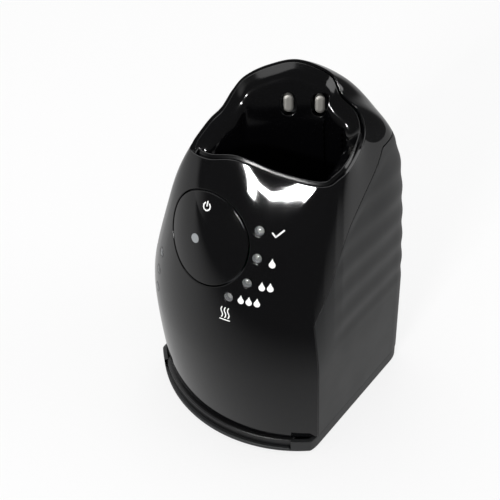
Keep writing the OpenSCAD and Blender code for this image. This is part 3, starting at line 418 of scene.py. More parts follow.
def fill(loops, spacing):
    """Triangles between closed loops of the flat map: places and faces."""
    edges, start = [], 0
    for loop in loops:
        edges += [(start + i, start + (i + 1) % len(loop)) for i in range(len(loop))]
        start += len(loop)
    rim_pts = np.concatenate(loops)
    lo, hi = rim_pts.min(0), rim_pts.max(0)
    ys = np.arange(lo[1], hi[1], spacing * 0.87)
    rows = [np.stack([np.arange(lo[0] + spacing / 2 * (k % 2), hi[0], spacing),
                      np.full(len(np.arange(lo[0] + spacing / 2 * (k % 2), hi[0], spacing)), y)], -1)
            for k, y in enumerate(ys)]
    pts = np.concatenate(rows)
    pts = pts[inside(loops, pts)]
    near = np.full(len(pts), np.inf)
    for k in range(0, len(pts), 2000):
        d = pts[k : k + 2000, None] - rim_pts[None]
        near[k : k + 2000] = (d * d).sum(-1).min(1)
    pts = pts[near > (0.62 * spacing) ** 2]
    every = [Vector(p) for p in np.concatenate([rim_pts, pts])]
    v, _, f, _, _, _ = delaunay_2d_cdt(every, edges, [], 0, 1e-6)
    v, f = np.array([tuple(p) for p in v]), np.array([t for t in f if len(t) == 3])
    return v, f[inside(loops, v[f].mean(1))]


def shell(surface, loops, spacing, wall, edge, step=0.1):
    """A closed wall under a mapped surface, with its outer edges rounded by the edge radius."""
    at, tri = fill(loops, spacing)
    p, n = surface(at[:, 0], at[:, 1]), normal(surface, at[:, 0], at[:, 1], step)
    _, first, same = np.unique(np.round(p * 2e3), axis=0, return_index=True, return_inverse=True)
    tri, p, n = same.reshape(-1)[tri], p[first], n[first]
    tri = tri[(tri[:, 0] != tri[:, 1]) & (tri[:, 1] != tri[:, 2]) & (tri[:, 0] != tri[:, 2])]
    face = np.cross(p[tri[:, 1]] - p[tri[:, 0]], p[tri[:, 2]] - p[tri[:, 0]])
    if (face * n[tri[:, 0]]).sum() < 0:
        tri = tri[:, ::-1]
    solid = Solid()
    solid.add(p, n, tri)
    directed = {(a, b) for t in tri.tolist() for a, b in zip(t, t[1:] + t[:1])}
    after = {a: b for a, b in directed if (b, a) not in directed}
    inner, turns = p - n * wall, np.linspace(0, np.pi / 2, 5)[None, :, None]
    while after:
        loop = [next(iter(sorted(after)))]
        while loop[-1] in after:
            loop.append(after.pop(loop[-1]))
        loop = np.array(loop[:-1])
        q, m = p[loop][:, None], n[loop][:, None]
        e = unit(np.roll(p[loop], -1, 0) - np.roll(p[loop], 1, 0))[:, None]
        t = unit(np.cross(e, m))
        bend = q + t * edge * np.sin(turns) - m * edge * (1 - np.cos(turns))
        solid.grid(bend, m * np.cos(turns) + t * np.sin(turns), flip=True)
        inner[loop] = (q + t * edge - m * wall)[:, 0]
        solid.grid(np.stack([bend[:, -1], inner[loop]], 1), t, flip=True)
    solid.add(inner, -n, tri[:, ::-1])
    return solid


def even(points, spacing):
    """The same open path with evenly spaced points."""
    pts = np.array(points, float)
    run = np.concatenate([[0], np.cumsum(np.linalg.norm(np.diff(pts, axis=0), axis=1))])
    s = np.linspace(0, run[-1], max(2, int(run[-1] / spacing) + 1))
    return np.stack([np.interp(s, run, pts[:, k]) for k in (0, 1)], -1)


def ring_path(points, spacing=1.2):
    """The same closed path with evenly spaced points."""
    return even(np.concatenate([points, points[:1]]), spacing)[:-1]


def closed_path(*sides, spacing):
    """One loop out of several open sides that follow each other."""
    return np.concatenate([even(s, spacing)[:-1] for s in sides])


def coil(radius, wire, low, high, turns, place, steps=28, around=10):
    """A wound wire along the local Z axis, with closed ground ends."""
    s = np.linspace(0, 1, int(turns * steps) + 1)
    a = s * turns * 2 * np.pi
    climb = np.clip((s * turns - 0.8) / (turns - 1.6), 0, 1)
    z = low + wire + (high - low - 2 * wire) * climb
    line = np.stack([radius * np.cos(a), radius * np.sin(a), z], -1)
    t = unit(np.gradient(line, axis=0))
    out = np.stack([np.cos(a), np.sin(a), 0 * a], -1)
    up = unit(np.cross(out, t))
    out = np.cross(t, up)
    b = np.linspace(0, 2 * np.pi, around, endpoint=False)
    no = out[None] * np.cos(b)[:, None, None] + up[None] * np.sin(b)[:, None, None]
    origin, axes = place
    solid = Solid()
    co = origin + (line[None] + wire * no) @ axes
    solid.grid(co, no @ axes, flip=False)
    solid.add(co[:, 0], -t[0] @ axes, [list(range(around))])
    solid.add(co[:, -1], t[-1] @ axes, [list(range(around))[::-1]])
    return solid


# ---------------------------------------------------------------- materials


def linear(tone):
    """An sRGB hex colour as linear RGBA."""
    parts = [int(tone[i : i + 2], 16) / 255 for i in (1, 3, 5)]
    return (*[c / 12.92 if c <= 0.04045 else ((c + 0.055) / 1.055) ** 2.4 for c in parts], 1.0)


def node(tree, kind, links=(), settings=(), **values):
    """Adds a shader node with its settings and socket values, and links (output, input) pairs."""
    made = tree.nodes.new(kind)
    for key, value in dict(settings).items():
        setattr(made, key, value)
    for key, value in values.items():
        made.inputs[key.replace("_", " ")].default_value = value
    for source, target in links:
        tree.links.new(source, made.inputs[target])
    return made


def material(name, tone, roughness, metallic=0.0, ior=1.5, grain=None, vary=None, **more):
    """A finish with its own tone and roughness. grain is (size in mm, height in mm) of fine relief,
    and vary is (size in mm, roughness change) of slow wear in the polish."""
    m = bpy.data.materials.new(name)
    m.use_nodes = True
    tree = m.node_tree
    shader = tree.nodes["Principled BSDF"]
    shader.inputs["Base Color"].default_value = linear(tone)
    shader.inputs["Roughness"].default_value = roughness
    shader.inputs["Metallic"].default_value = metallic
    if not metallic:
        shader.inputs["IOR"].default_value = ior
    for key, value in more.items():
        shader.inputs[key.replace("_", " ")].default_value = value
    place = node(tree, "ShaderNodeTexCoord").outputs["Object"]
    if vary:
        patch = node(tree, "ShaderNodeTexNoise", [(place, "Vector")], Scale=1 / (vary[0] * MM), Detail=3.0)
        spread = node(tree, "ShaderNodeMapRange", [(patch.outputs["Fac"], "Value")],
                      From_Min=0.3, From_Max=0.7, To_Min=roughness, To_Max=roughness + vary[1])
        tree.links.new(spread.outputs["Result"], shader.inputs["Roughness"])
    if grain:
        noise = node(tree, "ShaderNodeTexNoise", [(place, "Vector")], Scale=1 / (grain[0] * MM), Detail=2.0)
        bump = node(tree, "ShaderNodeBump", [(noise.outputs["Fac"], "Height")],
                    Strength=1.0, Distance=grain[1] * MM)
        tree.links.new(bump.outputs["Normal"], shader.inputs["Normal"])
    return m


def finishes():
    """Every finish of the station, by name."""
    s = bpy.context.scene.station_finish
    return {
        # polished black ABS of the front shell, cradle and button
        "gloss_abs": material("gloss_abs", "#050506", s.gloss, vary=(40, 0.03)),
        "cradle_abs": material("cradle_abs", "#040405", 0.1, vary=(30, 0.04)),
        # spark-eroded ABS of the rear shell
        "eroded_abs": material("eroded_abs", "#151617", 0.42, grain=(s.grain / MM, 0.012), vary=(25, 0.06)),
        "base_abs": material("base_abs", "#1a1b1c", 0.5, grain=(0.35, 0.01)),
        "cartridge_pp": material("cartridge_pp", "#0d0d0e", 0.35, ior=1.49, grain=(0.6, 0.006)),
        "dish_pp": material("dish_pp", "#101011", 0.25, ior=1.49),
        # nickel plate on the two contacts
        "nickel": material("nickel", "#d6d4ce", 0.6, metallic=1.0, grain=(0.3, 0.004)),
        "stainless": material("stainless", "#b5b7b8", 0.3, metallic=1.0, grain=(0.2, 0.002)),
        "zinc_steel": material("zinc_steel", "#a9adb0", 0.38, metallic=1.0, vary=(6, 0.15)),
        "spring_wire": material("spring_wire", "#8f9396", 0.3, metallic=1.0, vary=(3, 0.1)),
        "aluminium": material("aluminium", "#c9cbcc", 0.4, metallic=1.0, grain=(0.5, 0.003)),
        "lens_pc": material("lens_pc", "#c9ccce", 0.08, ior=1.585, Transmission_Weight=0.85),
        "button_lens_pc": material("button_lens_pc", "#85888a", 0.3, ior=1.585),
        "pad_ink": material("pad_ink", "#e9e9e7", 0.6),
        "tpe": material("tpe", "#202122", 0.75, ior=1.5, grain=(0.8, 0.01)),
        "nbr_seal": material("nbr_seal", "#3a1d1a", 0.6, ior=1.52),
        "silicone_hose": material("silicone_hose", "#cfd3d0", 0.35, ior=1.41, Transmission_Weight=0.3),
        "acetal": material("acetal", "#dedcd2", 0.4, ior=1.48),
        "inner_abs": material("inner_abs", "#303133", 0.5, grain=(0.6, 0.008)),
        "led_epoxy": material("led_epoxy", "#e6e2d2", 0.3, ior=1.5),
        "felt": material("felt", "#cfc7ab", 0.95, grain=(0.5, 0.15)),
        "solder_mask": board_finish(),
    }


def board_finish():
    """Green solder mask with copper tracks showing through it."""
    m = material("solder_mask", "#12442a", 0.28, ior=1.55)
    tree = m.node_tree
    shader = tree.nodes["Principled BSDF"]
    place = node(tree, "ShaderNodeTexCoord").outputs["Object"]
    tracks = node(tree, "ShaderNodeTexBrick", [(place, "Vector")], Color1=linear("#12442a"),
                  Color2=linear("#1b6a41"), Mortar=linear("#0d3320"), Scale=1 / (4.5 * MM))
    tree.links.new(tracks.outputs["Color"], shader.inputs["Base Color"])
    return m


def finish(name):
    """The finish of that name, made once."""
    if name not in bpy.data.materials:
        finishes()
    return bpy.data.materials[name]


# ---------------------------------------------------------------- settings


class StationShape(bpy.types.PropertyGroup):
    edge: FloatProperty(name="Edge Radius", description="Radius of the moulded outer edges",
                        default=0.0005, min=0.0002, max=0.001, unit="LENGTH")
    spacing: FloatProperty(name="Mesh Spacing", description="Distance between mesh points on the shells",
                           default=0.0019, min=0.001, max=0.004, unit="LENGTH")
    mark_height: FloatProperty(name="Ink Height", description="Height of the printed marks over the shell",
                               default=0.00006, min=0.00003, max=0.0001, unit="LENGTH")
    spring_turns: IntProperty(name="Spring Turns", description="Turns of each lift spring",
                              default=11, min=7, max=14)


class StationFinish(bpy.types.PropertyGroup):
    gloss: FloatProperty(name="Gloss Roughness", description="Roughness of the polished shell",
                         default=0.035, min=0.0, max=0.3, subtype="FACTOR")
    grain: FloatProperty(name="Grain Size", description="Grain of the spark-eroded rear shell",
                         default=0.00045, min=0.0002, max=0.001, unit="LENGTH")


class StationStage(bpy.types.PropertyGroup):
    floor: FloatProperty(name="Floor Shade", description="Brightness of the floor seen by the camera",
                         default=0.97, min=0.5, max=1.0, subtype="FACTOR")
    shadow: FloatProperty(name="Shadow Share", description="Share of real shading in the floor",
                          default=0.22, min=0.0, max=1.0, subtype="FACTOR")


# ---------------------------------------------------------------- the pieces


def shell_edge():
    s = bpy.context.scene.station_shape
    return s.edge / MM, s.spacing / MM


def lens_hole(surface, at, radius):
    w, p, n = front_spot(*at)
    return locate(surface, p, n, circle(40)[1] * radius, w)


class StationShells(bpy.types.Operator):
    """Builds the gloss front shell and the satin rear shell"""

    bl_idname = "station.shells"
    bl_label = "Outer Shells"

    def execute(self, context):
        edge, spacing = shell_edge()
        half = Q_END / 2 * Q_UNIT
        crease = Q_UNIT * (1 - edge / 69)
        qs = np.linspace(Q_UNIT, half, 160)

        def seam(x, shift):
            return V_UNIT * (v_at(x / Q_UNIT, seam_height(x / Q_UNIT) + shift))

        foot, top = edge * V_UNIT / 165, V_UNIT - edge
        low, left = seam(qs, edge), seam(-qs, edge)    # the rim, and so the map, differs between the sides
        outline = closed_path(
            np.stack([-qs[::-1], left[::-1]], -1), [(-Q_UNIT, left[0]), (-crease, left[0])],
            [(-crease, left[0]), (-crease, foot)], [(-crease, foot), (crease, foot)],
            [(crease, foot), (crease, low[0])], [(crease, low[0]), (Q_UNIT, low[0])],
            np.stack([qs, low], -1), [(half, low[-1]), (half, top)],
            [(half, top), (-half, top)], [(-half, top), (-half, left[-1])], spacing=1.3)
        holes = [locate(front_map, BUTTON_P, BUTTON_N,
                        circle(150)[1] * (BUTTON_D / 2 + BUTTON_GAP + edge), BUTTON_W)]
        holes += [lens_hole(front_map, at, LENS_D / 2 + LENS_GAP + 0.2) for at in PROGRAM_AT + LEVEL_AT]
        shell(front_map, [outline, *holes], spacing, WALL, edge).make(
            "front_shell_skin", finish("gloss_abs"), "housing", ["front_shell"], "gloss_shell")

        first = Q_UNIT * (1 + (SEAM_GAP + edge) / 42)
        qs = np.linspace(first, Q_END * Q_UNIT - first, 360)
        high = seam(qs, -SEAM_GAP - edge)
        outline = closed_path(
            [(first, foot), (qs[-1], foot)], [(qs[-1], foot), (qs[-1], high[-1])],
            np.stack([qs[::-1], high[::-1]], -1), [(first, high[0]), (first, foot)], spacing=1.3)
        back = np.array([0, 1.0, 0])
        start = (half, (LIFT_Z - 10) * V_UNIT / 202)
        lift = rectangle(LIFT_W + 2 * (FIT + edge), LIFT_H + 2 * (FIT + edge), 2)[0]
        socket = rectangle(SOCKET_W + 2 * (SOCKET_GAP + edge), SOCKET_H + 2 * (SOCKET_GAP + edge), 1.5)[0]
        holes = [
            locate(rear_map, np.array([0, REAR_D, LIFT_Z]), back, ring_path(lift), start),
            locate(rear_map, np.array([SOCKET_X, REAR_D, SOCKET_Z]), back, ring_path(socket), (half - 25, 20)),
        ]
        shell(rear_map, [outline, *holes], spacing, WALL - WAVE_DEPTH, edge).make(
            "rear_shell_skin", finish("eroded_abs"), "housing", ["rear_shell"], "satin_shell")
        return {"FINISHED"}


FACE = np.array([math.sin(TURN), -math.cos(TURN), 0])    # the way the contacts point


def pin_spot(side):
    """Map place and point of the liner's hidden face at one contact."""
    w = locate(cradle_back, np.array([0, 0, PIN_Z]), FACE,
               [(PIN_U + side * PIN_PITCH / 2, 0)], (5 * CRADLE_UNIT, 25))[0]
    return w, cradle_back(np.array([w[0]]), np.array([w[1]]))[0]


def oval(grow):
    return rectangle(PIN_W + 2 * grow, PIN_H + 2 * grow, PIN_W / 2 + grow - 0.01, 14)


class StationCradle(bpy.types.Operator):
    """Builds the cradle with its contact wells, and the cleaning dish under it"""

    bl_idname = "station.cradle"
    bl_label = "Cradle and Dish"

    def execute(self, context):
        edge, spacing = shell_edge()
        end, top, low = Q_END * CRADLE_UNIT, 0.1, CRADLE_ROWS[-1] - edge
        outline = closed_path([(0, top), (end, top)], [(end, top), (end, low)], [(end, low), (0, low)],
                              [(0, low), (0, top)], spacing=1.3)
        wells = []
        for side in (-1, 1):
            w, p = pin_spot(side)
            wells.append(locate(cradle_back, p, FACE, oval(WELL_GAP + edge)[0], w))
        shell(cradle_map, [outline, *wells], spacing, LINER_WALL, edge).make(
            "cradle_skin", finish("cradle_abs"), "housing", ["cradle_liner"], "gloss_shell")

        a = np.linspace(0, 2 * np.pi, 96, endpoint=False)
        ellipse = np.stack([DISH_W / 2 * np.cos(a), DISH_D / 2 * np.sin(a)], -1)
        out = unit(np.stack([DISH_D * np.cos(a), DISH_W * np.sin(a)], -1))
        z = DISH_TOP - 0.9
        floor = DISH_TOP - DISH_DEPTH
        profile = rounded(
            [(-9.5, floor - 2), (0, floor - 2), (0, z - 2), (2, z - 2), (2, z), (-2, z), (-2, floor),
             (-9.5, floor)], [0, 3, 0.4, 0.5, 0.6, 0.7, 5, 0])
        dish = Solid()
        dish.sweep((ellipse, out), profile, upright(DISH_X, -DISH_Y, 0, TURN))
        dish.make("dish_bowl", finish("dish_pp"), "housing", ["cleaning_dish"], "dish_plastic")
        return {"FINISHED"}


class StationContacts(bpy.types.Operator):
    """Builds the two plated charging contacts"""

    bl_idname = "station.contacts"
    bl_label = "Charging Contacts"

    def execute(self, context):
        for side, name in ((-1, "left"), (1, "right")):
            _, p = pin_spot(side)
            tip = on_plane(p + FACE * PIN_OUT, FACE)
            pin = Solid()
            pin.sweep(oval(0), join(rounded([(-1.5, -3), (0, -3), (0, -0.55), (-0.1, -0.5)], [0, 0.3, 0.1, 0]),
                                    (np.array([(-0.25, -0.25), (-0.55, -0.12), (-1.0, -0.04), (-1.7, 0)]),
                                     unit(np.array([(1.0, 1.0), (0.55, 1), (0.25, 1), (0, 1)])))), tip)
            pin.sweep(circle(32), rounded([(0.01, -9), (1.8, -9), (1.8, -2.9), (0.01, -2.9)], [0, 0.4, 0, 0]), tip)
            pin.make(f"contact_{name}_plate", finish("nickel"), f"{name}_contact",
                     [f"contact_pin_{name}"], "contact_metal")
        return {"FINISHED"}


def button_map(x, y):
    """The button's surface over its own plane: the shell's curve with a low dome."""
    spots = np.stack([x, y], -1)
    w = locate(front_map, BUTTON_P, BUTTON_N, spots, BUTTON_W)
    rise = BUTTON_DOME * (1 - (x * x + y * y) / (BUTTON_D / 2) ** 2)
    return front_map(w[:, 0], w[:, 1]) + rise[..., None] * BUTTON_N


class StationButton(bpy.types.Operator):
    """Builds the start button with its stem, its lamp and its power mark"""

    bl_idname = "station.button"
    bl_label = "Start Button"

    def execute(self, context):
        edge, spacing = shell_edge()
        loop = circle(150)[1] * (BUTTON_D / 2 - edge)
        cap = shell(button_map, [loop], spacing, BUTTON_T, edge)
        place = on_plane(BUTTON_P, BUTTON_N)
        cap.sweep(circle(40), rounded([(0.01, -10.2), (3.8, -10.2), (3.8, -9.1), (3, -9.1), (3, -1.4), (0.01, -1.4)],
                                      [0, 0.3, 0.2, 0, 0, 0]), place)
        cap.make("start_button_cap", finish("gloss_abs"), "start_button", ["start_button"], "gloss_shell")

        rings = [circle(150)[1] * (BUTTON_D / 2 + 2.4), circle(110)[1] * (BUTTON_D / 2 - 1)]
        shell(lambda x, y: button_map(x, y) - COLLAR_DEPTH * BUTTON_N, rings, spacing, 1.0, 0.2).make(
            "button_collar", finish("inner_abs"), "housing", (), "inner_plastic")

        _, p, n = front_spot(*BUTTON_LENS_AT)
        spot = (p - BUTTON_P) @ np.array(plane_axes(BUTTON_N)).T
        p = button_map(spot[None, 0], spot[None, 1])[0]
        lens = Solid()
        lens.sweep(circle(48), join(rounded([(0.01, -0.3), (2.6, -0.3), (2.6, 0.1)], [0, 0, 0]),
                                    dome(2.55, 0.12, 0.5)), on_plane(p, BUTTON_N), (False, False))
        lens.make("button_lamp", finish("button_lens_pc"), "start_button", ["button_lens"], "lens_plastic")

        gap = math.radians(38)
        a = np.linspace(math.pi / 2 + gap, math.pi * 2.5 - gap, 40)
        c = np.array([-0.6, 18.6])
        marks([c + 2.1 * np.stack([np.cos(a), np.sin(a)], -1), [c + (0, 0.3), c + (0, 2.7)]], [], 0.72,
              button_map, "power_mark", "start_button")
        return {"FINISHED"}


def stroke(path, width, steps=8):
    """Closed outline of a line of that width, with round ends."""
    pts = even(path, 0.18)
    t = unit(np.gradient(pts, axis=0))
    side = np.stack([-t[:, 1], t[:, 0]], -1) * width / 2
    a = np.linspace(0, np.pi, steps)[1:-1, None]
    head = pts[-1] - side[-1] * np.cos(a) + t[-1] * np.sin(a) * width / 2
    tail = pts[0] + side[0] * np.cos(a) - t[0] * np.sin(a) * width / 2
    return np.concatenate([pts - side, head, (pts + side)[::-1], tail])


def marks(strokes, shapes, width, surface, name, body):
    """Thin printed marks on a surface that is mapped over a plane."""
    height = bpy.context.scene.station_shape.mark_height / MM
    solid = Solid()
    for outline in [stroke(path, width) for path in strokes] + shapes:
        at, tri = fill([outline], 0.6)
        p, n = surface(at[:, 0], at[:, 1]), normal(surface, at[:, 0], at[:, 1], 0.05)
        solid.add(p + n * height, n, tri if is_ccw(at, tri) else tri[:, ::-1])
        rim_p, rim_n = surface(outline[:, 0], outline[:, 1]), normal(surface, outline[:, 0], outline[:, 1], 0.05)
        out = unit(np.cross(np.roll(rim_p, -1, 0) - np.roll(rim_p, 1, 0), rim_n))
        solid.grid(np.stack([rim_p - 0.02 * rim_n, rim_p + height * rim_n], 1), out[:, None])
    return solid.make(name, finish("pad_ink"), body, (), "lamp_white")


def is_ccw(at, tri):
    a, b, c = (at[tri[0, k]] for k in range(3))
    return (b[0] - a[0]) * (c[1] - a[1]) - (b[1] - a[1]) * (c[0] - a[0]) > 0


def panel_map(at):
    """The front surface over its tangent plane at a spot."""
    w, p, n = front_spot(*at)

    def surface(x, y):
        u = locate(front_map, p, n, np.stack([x, y], -1), w)
        return front_map(u[:, 0], u[:, 1])

    return surface


DROP_PITCH = 4.5


def drop(x, y, size=1.75):
    """Outline of one drop."""
    a = np.linspace(math.radians(-230), math.radians(50), 26)
    body = np.stack([size * np.cos(a), size * np.sin(a) - 0.5 * size], -1)
    tip = [(0.35 * size, 0.75 * size), (0.05 * size, 1.5 * size), (-0.35 * size, 0.75 * size)]
    return np.concatenate([body, tip]) + (x, y)


class StationMarks(bpy.types.Operator):
    """Prints the check, the drops and the heat mark on the front"""

    bl_idname = "station.marks"
    bl_label = "Printed Marks"

    def execute(self, context):
        marks([[(-2.9, 0.3), (-1.2, -1.6), (2.9, 2.4)]], [], 0.85, panel_map((33.5, 146.0)), "check_mark", "housing")
        for count, at in enumerate([(34.0, 131.0), (33.5, 118.0), (26.5, 108.5)], 1):
            row = [drop((k - (count - 1) / 2) * DROP_PITCH, 0) for k in range(count)]
            marks([], row, 0, panel_map(at), f"drop_mark_{count}", "housing")
        s = np.linspace(0, 1, 24)
        waves = [np.stack([x + 0.55 * np.sin(2 * np.pi * s), -2.2 + 6.2 * s], -1) for x in (-2, 0, 2)]
        marks([*waves, [(-3, -3.6), (3, -3.6)]], [], 0.6, panel_map((14.7, 97.3)), "heat_mark", "housing")
        return {"FINISHED"}


class StationLamps(bpy.types.Operator):
    """Builds the clear lenses of the program lamps and the level lamps"""

    bl_idname = "station.lamps"
    bl_label = "Lamps"

    def execute(self, context):
        names = [f"program_lens_{k}" for k in (1, 2, 3, 4)] + [f"level_lens_{k}" for k in (1, 2, 3)]
        r = LENS_D / 2
        for name, at in zip(names, PROGRAM_AT + LEVEL_AT):
            _, p, n = front_spot(*at)
            place = on_plane(p, n)
            ring_part = Solid()
            ring_part.sweep(circle(56), rounded(
                [(r - 0.55, -4.1), (r + 0.6, -4.1), (r + 0.6, -3.1), (r, -3.1), (r, 0.1), (r - 0.55, 0.1), (r - 0.55, -4.1)],
                [0, 0.2, 0.2, 0.1, 0.12, 0.2, 0]), place, (False, False))
            ring_part.make(name.replace("lens", "bezel"), finish("gloss_abs"), "housing", [name], "lens_plastic")
            lens = Solid()
            lens.sweep(circle(48), join(rounded([(0.01, -2.4), (r - 0.57, -2.4), (r - 0.57, -0.1)], [0, 0.15, 0]),
                                        dome(r - 0.58, -0.1, 0.4)), place, (False, False))
            lens.make(name.replace("lens", "lamp"), finish("lens_pc"), "housing", (), "lens_plastic")
            core = Solid()
            core.sweep(circle(32), join(rounded([(0.01, -3.9), (1.5, -3.9), (1.5, -3.2)], [0, 0.1, 0]),
                                        dome(1.5, -3.2, -2.6)), place, (False, False))
            core.make(name.replace("lens", "core"), finish("led_epoxy"), "housing", (), "lens_plastic")
        return {"FINISHED"}


LIP_OUT, LIP_Z, KERB_Z, KERB_T, FOOT_Z, FLOOR_T, POST_W = 5.0, 4.0, 9.7, 3.0, 1.2, 2.8, 10.0
FOOT_AT = [(-40, -38), (40, -38), (-40, 34), (40, 34)]
COLUMN_R, COLUMN_AT = 5.0, (44.0, 48.0)
DECK_Z = 54.5
FLOOR_Z = FOOT_Z + FLOOR_T
CART_W, CART_REAR, CART_TOP = 92.0, 24.0, 49.0
CART_FRONT, GRIP_FRONT = NOSE_D - 3.5, NOSE_D + 2.5


def base_outline(q, inset):
    """Points and outward normals of the base outline, which stands out at the front."""

    def at(t):
        total = 0
        for k in range(-3, 4):
            p = plan(t + 0.025 * k / 3)
            f = 1 - smooth(p[..., 1:] + CORNER_D)
            total = total + p - f * np.array([0, LIP_OUT])
        return total / 7

    d = at(q + 0.004) - at(q - 0.004)
    n = unit(np.stack([d[:, 1], -d[:, 0]], -1))
    return at(q) - n * inset, n


def slab(solid, w, d, low, high, at, r=1.0, edge=0.4, turn=0.0):
    """An upright block with rounded corners and edges."""
    solid.sweep(rectangle(w, d, r), rounded([(-edge - 0.2, 0), (0, 0), (0, high - low), (-edge - 0.2, high - low)],
                                            [0, edge, edge, 0]), upright(at[0], at[1], low, turn))


def rod(solid, r, low, high, at, edge=0.4, steps=48):
    solid.sweep(circle(steps), rounded([(0.01, low), (r, low), (r, high), (0.01, high)], [0, edge, edge, 0]),
                upright(at[0], at[1]), (False, False))


class StationBase(bpy.types.Operator):
    """Builds the base with its front lip, its feet and its column sockets"""

    bl_idname = "station.base"
    bl_label = "Base"

    def execute(self, context):
        post = math.asin((BODY_W / 2 - POST_W) / ARC_R) / ARC_A
        tray = Solid()

        def bar(q, high, inset=0.3):
            line, out = base_outline(q, inset)
            pp, pn = rounded([(0, FOOT_Z), (0, high), (-KERB_T, high), (-KERB_T, FOOT_Z)], [0.6, 0.6, 0.6, 0.2], True)
            xy = line[:, None] + out[:, None] * pp[None, :, :1]
            co = np.concatenate([xy, np.broadcast_to(pp[None, :, 1:], xy.shape[:2] + (1,))], -1)
            no = np.concatenate([out[:, None] * pn[None, :, :1],
                                 np.broadcast_to(pn[None, :, 1:], xy.shape[:2] + (1,))], -1)
            co, no = (np.concatenate([a, a[:, :1]], 1) for a in (co, no))
            tray.grid(co, no, closed=False)
            for end, side in ((0, -1), (-1, 1)):
                along = unit(np.append(line[end] - line[1 if end == 0 else -2], 0))
                tray.add(co[end, :-1], along, np.arange(len(pp))[None, ::side])

        near = np.linspace(-0.04, 0.04, 25)
        fine = np.concatenate([np.linspace(post, 0.95, 24), 1 + near, np.linspace(1.06, 3, 50)[:-1],
                               np.linspace(3, 4, 30)[:-1], np.linspace(4, 5, 16)])
        bar(np.concatenate([fine, Q_END - fine[-2::-1]]), KERB_Z)
        bar(np.linspace(-post, post, 90), LIP_Z)
        whole = np.concatenate([fine, Q_END - fine[-2::-1], np.linspace(Q_END - post, Q_END + post, 60)[1:-1]])
        tray.sweep(base_outline(whole, 0.3 + KERB_T - 0.2), rounded([(-1, FOOT_Z), (0, FOOT_Z), (0, FLOOR_Z), (-1, FLOOR_Z)]),
                   upright(0, 0))
        bay = CART_W + 2 * FIT
        for s in (-1, 1):
            slab(tray, 2, CART_REAR + CORNER_D, FLOOR_Z - 0.1, FLOOR_Z + 23.9, (s * (bay / 2 + 1), (CART_REAR - CORNER_D) / 2), 0.6)
            rod(tray, 9, FLOOR_Z - 0.1, FLOOR_Z + 3.9, (s * COLUMN_AT[0], COLUMN_AT[1]))
        slab(tray, bay + 4, 2, FLOOR_Z - 0.1, FLOOR_Z + 23.9, (0, CART_REAR + FIT + 1), 0.6)
        slab(tray, 18, 8.8, FLOOR_Z - 0.1, FLOOR_Z + 11.9, (0, 52.6), 1)
        tray.make("base_shell", finish("base_abs"), "base", ["base_tray"], "base_plastic")

        for k, at in enumerate(FOOT_AT, 1):
            foot = Solid()
            foot.sweep(circle(56), rounded([(0.01, 0.25), (4.8, 0.25), (5.4, 0), (7, 0), (7, 1.98), (0.01, 1.98)],
                                           [0, 0.3, 0.3, 0.5, 0, 0]), upright(*at), (False, False))
            foot.make(f"foot_{k}", finish("tpe"), "base", ["rubber_feet"] if k == 1 else (), "rubber")
        return {"FINISHED"}


def arc_outline(w, front, rear, r, front_r=2.0):
    """Outline with a bowed front edge, rounded at its four corners."""
    a0 = math.asin(w / 2 / ARC_R)
    a = np.linspace(-a0, a0, 60)
    arc = np.stack([ARC_R * np.sin(a), ARC_R - front - ARC_R * np.cos(a)], -1)
    pts = np.concatenate([arc, [(w / 2, rear), (-w / 2, rear)]])
    radii = np.full(len(pts), 8.0)
    radii[[0, 59]] = front_r
    radii[[60, 61]] = r
    keep = np.ones(len(pts), bool)
    keep[[1, 2, 57, 58]] = False
    return rounded(pts[keep], radii[keep], True, 4)


class StationCartridge(bpy.types.Operator):
    """Builds the fluid cartridge with its low grip at the front"""

    bl_idname = "station.cartridge"
    bl_label = "Cartridge"

    def execute(self, context):
        low = FLOOR_Z + 0.2
        body = Solid()
        body.sweep(arc_outline(CART_W, CART_FRONT, CART_REAR, 2), rounded(
            [(-2, low), (0, low), (0, CART_TOP - 3), (-1.8, CART_TOP - 3), (-1.8, CART_TOP - 8), (-3, CART_TOP - 8)],
            [0, 1, 0.4, 0.4, 0, 0]), upright(0, 0))
        grip = BODY_W - 2 * POST_W - 1
        body.sweep(arc_outline(grip, GRIP_FRONT, -CORNER_D - 7, 1.0), rounded(
            [(-2, LIP_Z + 0.3), (0, LIP_Z + 0.3), (0, SKIRT_Z - 0.6), (-2, SKIRT_Z - 0.6)], [0, 0.5, 0.9, 0]), upright(0, 0))
        body.make("cartridge_shell", finish("cartridge_pp"), "base", ["cartridge_body"], "cartridge_plastic")
        return {"FINISHED"}


LIFT_W, LIFT_H, LIFT_Z = 28.0, 15.0, 84.0
SOCKET_W, SOCKET_H, SOCKET_X, SOCKET_Z, SOCKET_GAP = 16.0, 10.0, 26.0, 34.0, 0.2
BRACKET_Y = 55.0
LIFT_REST = 0.6


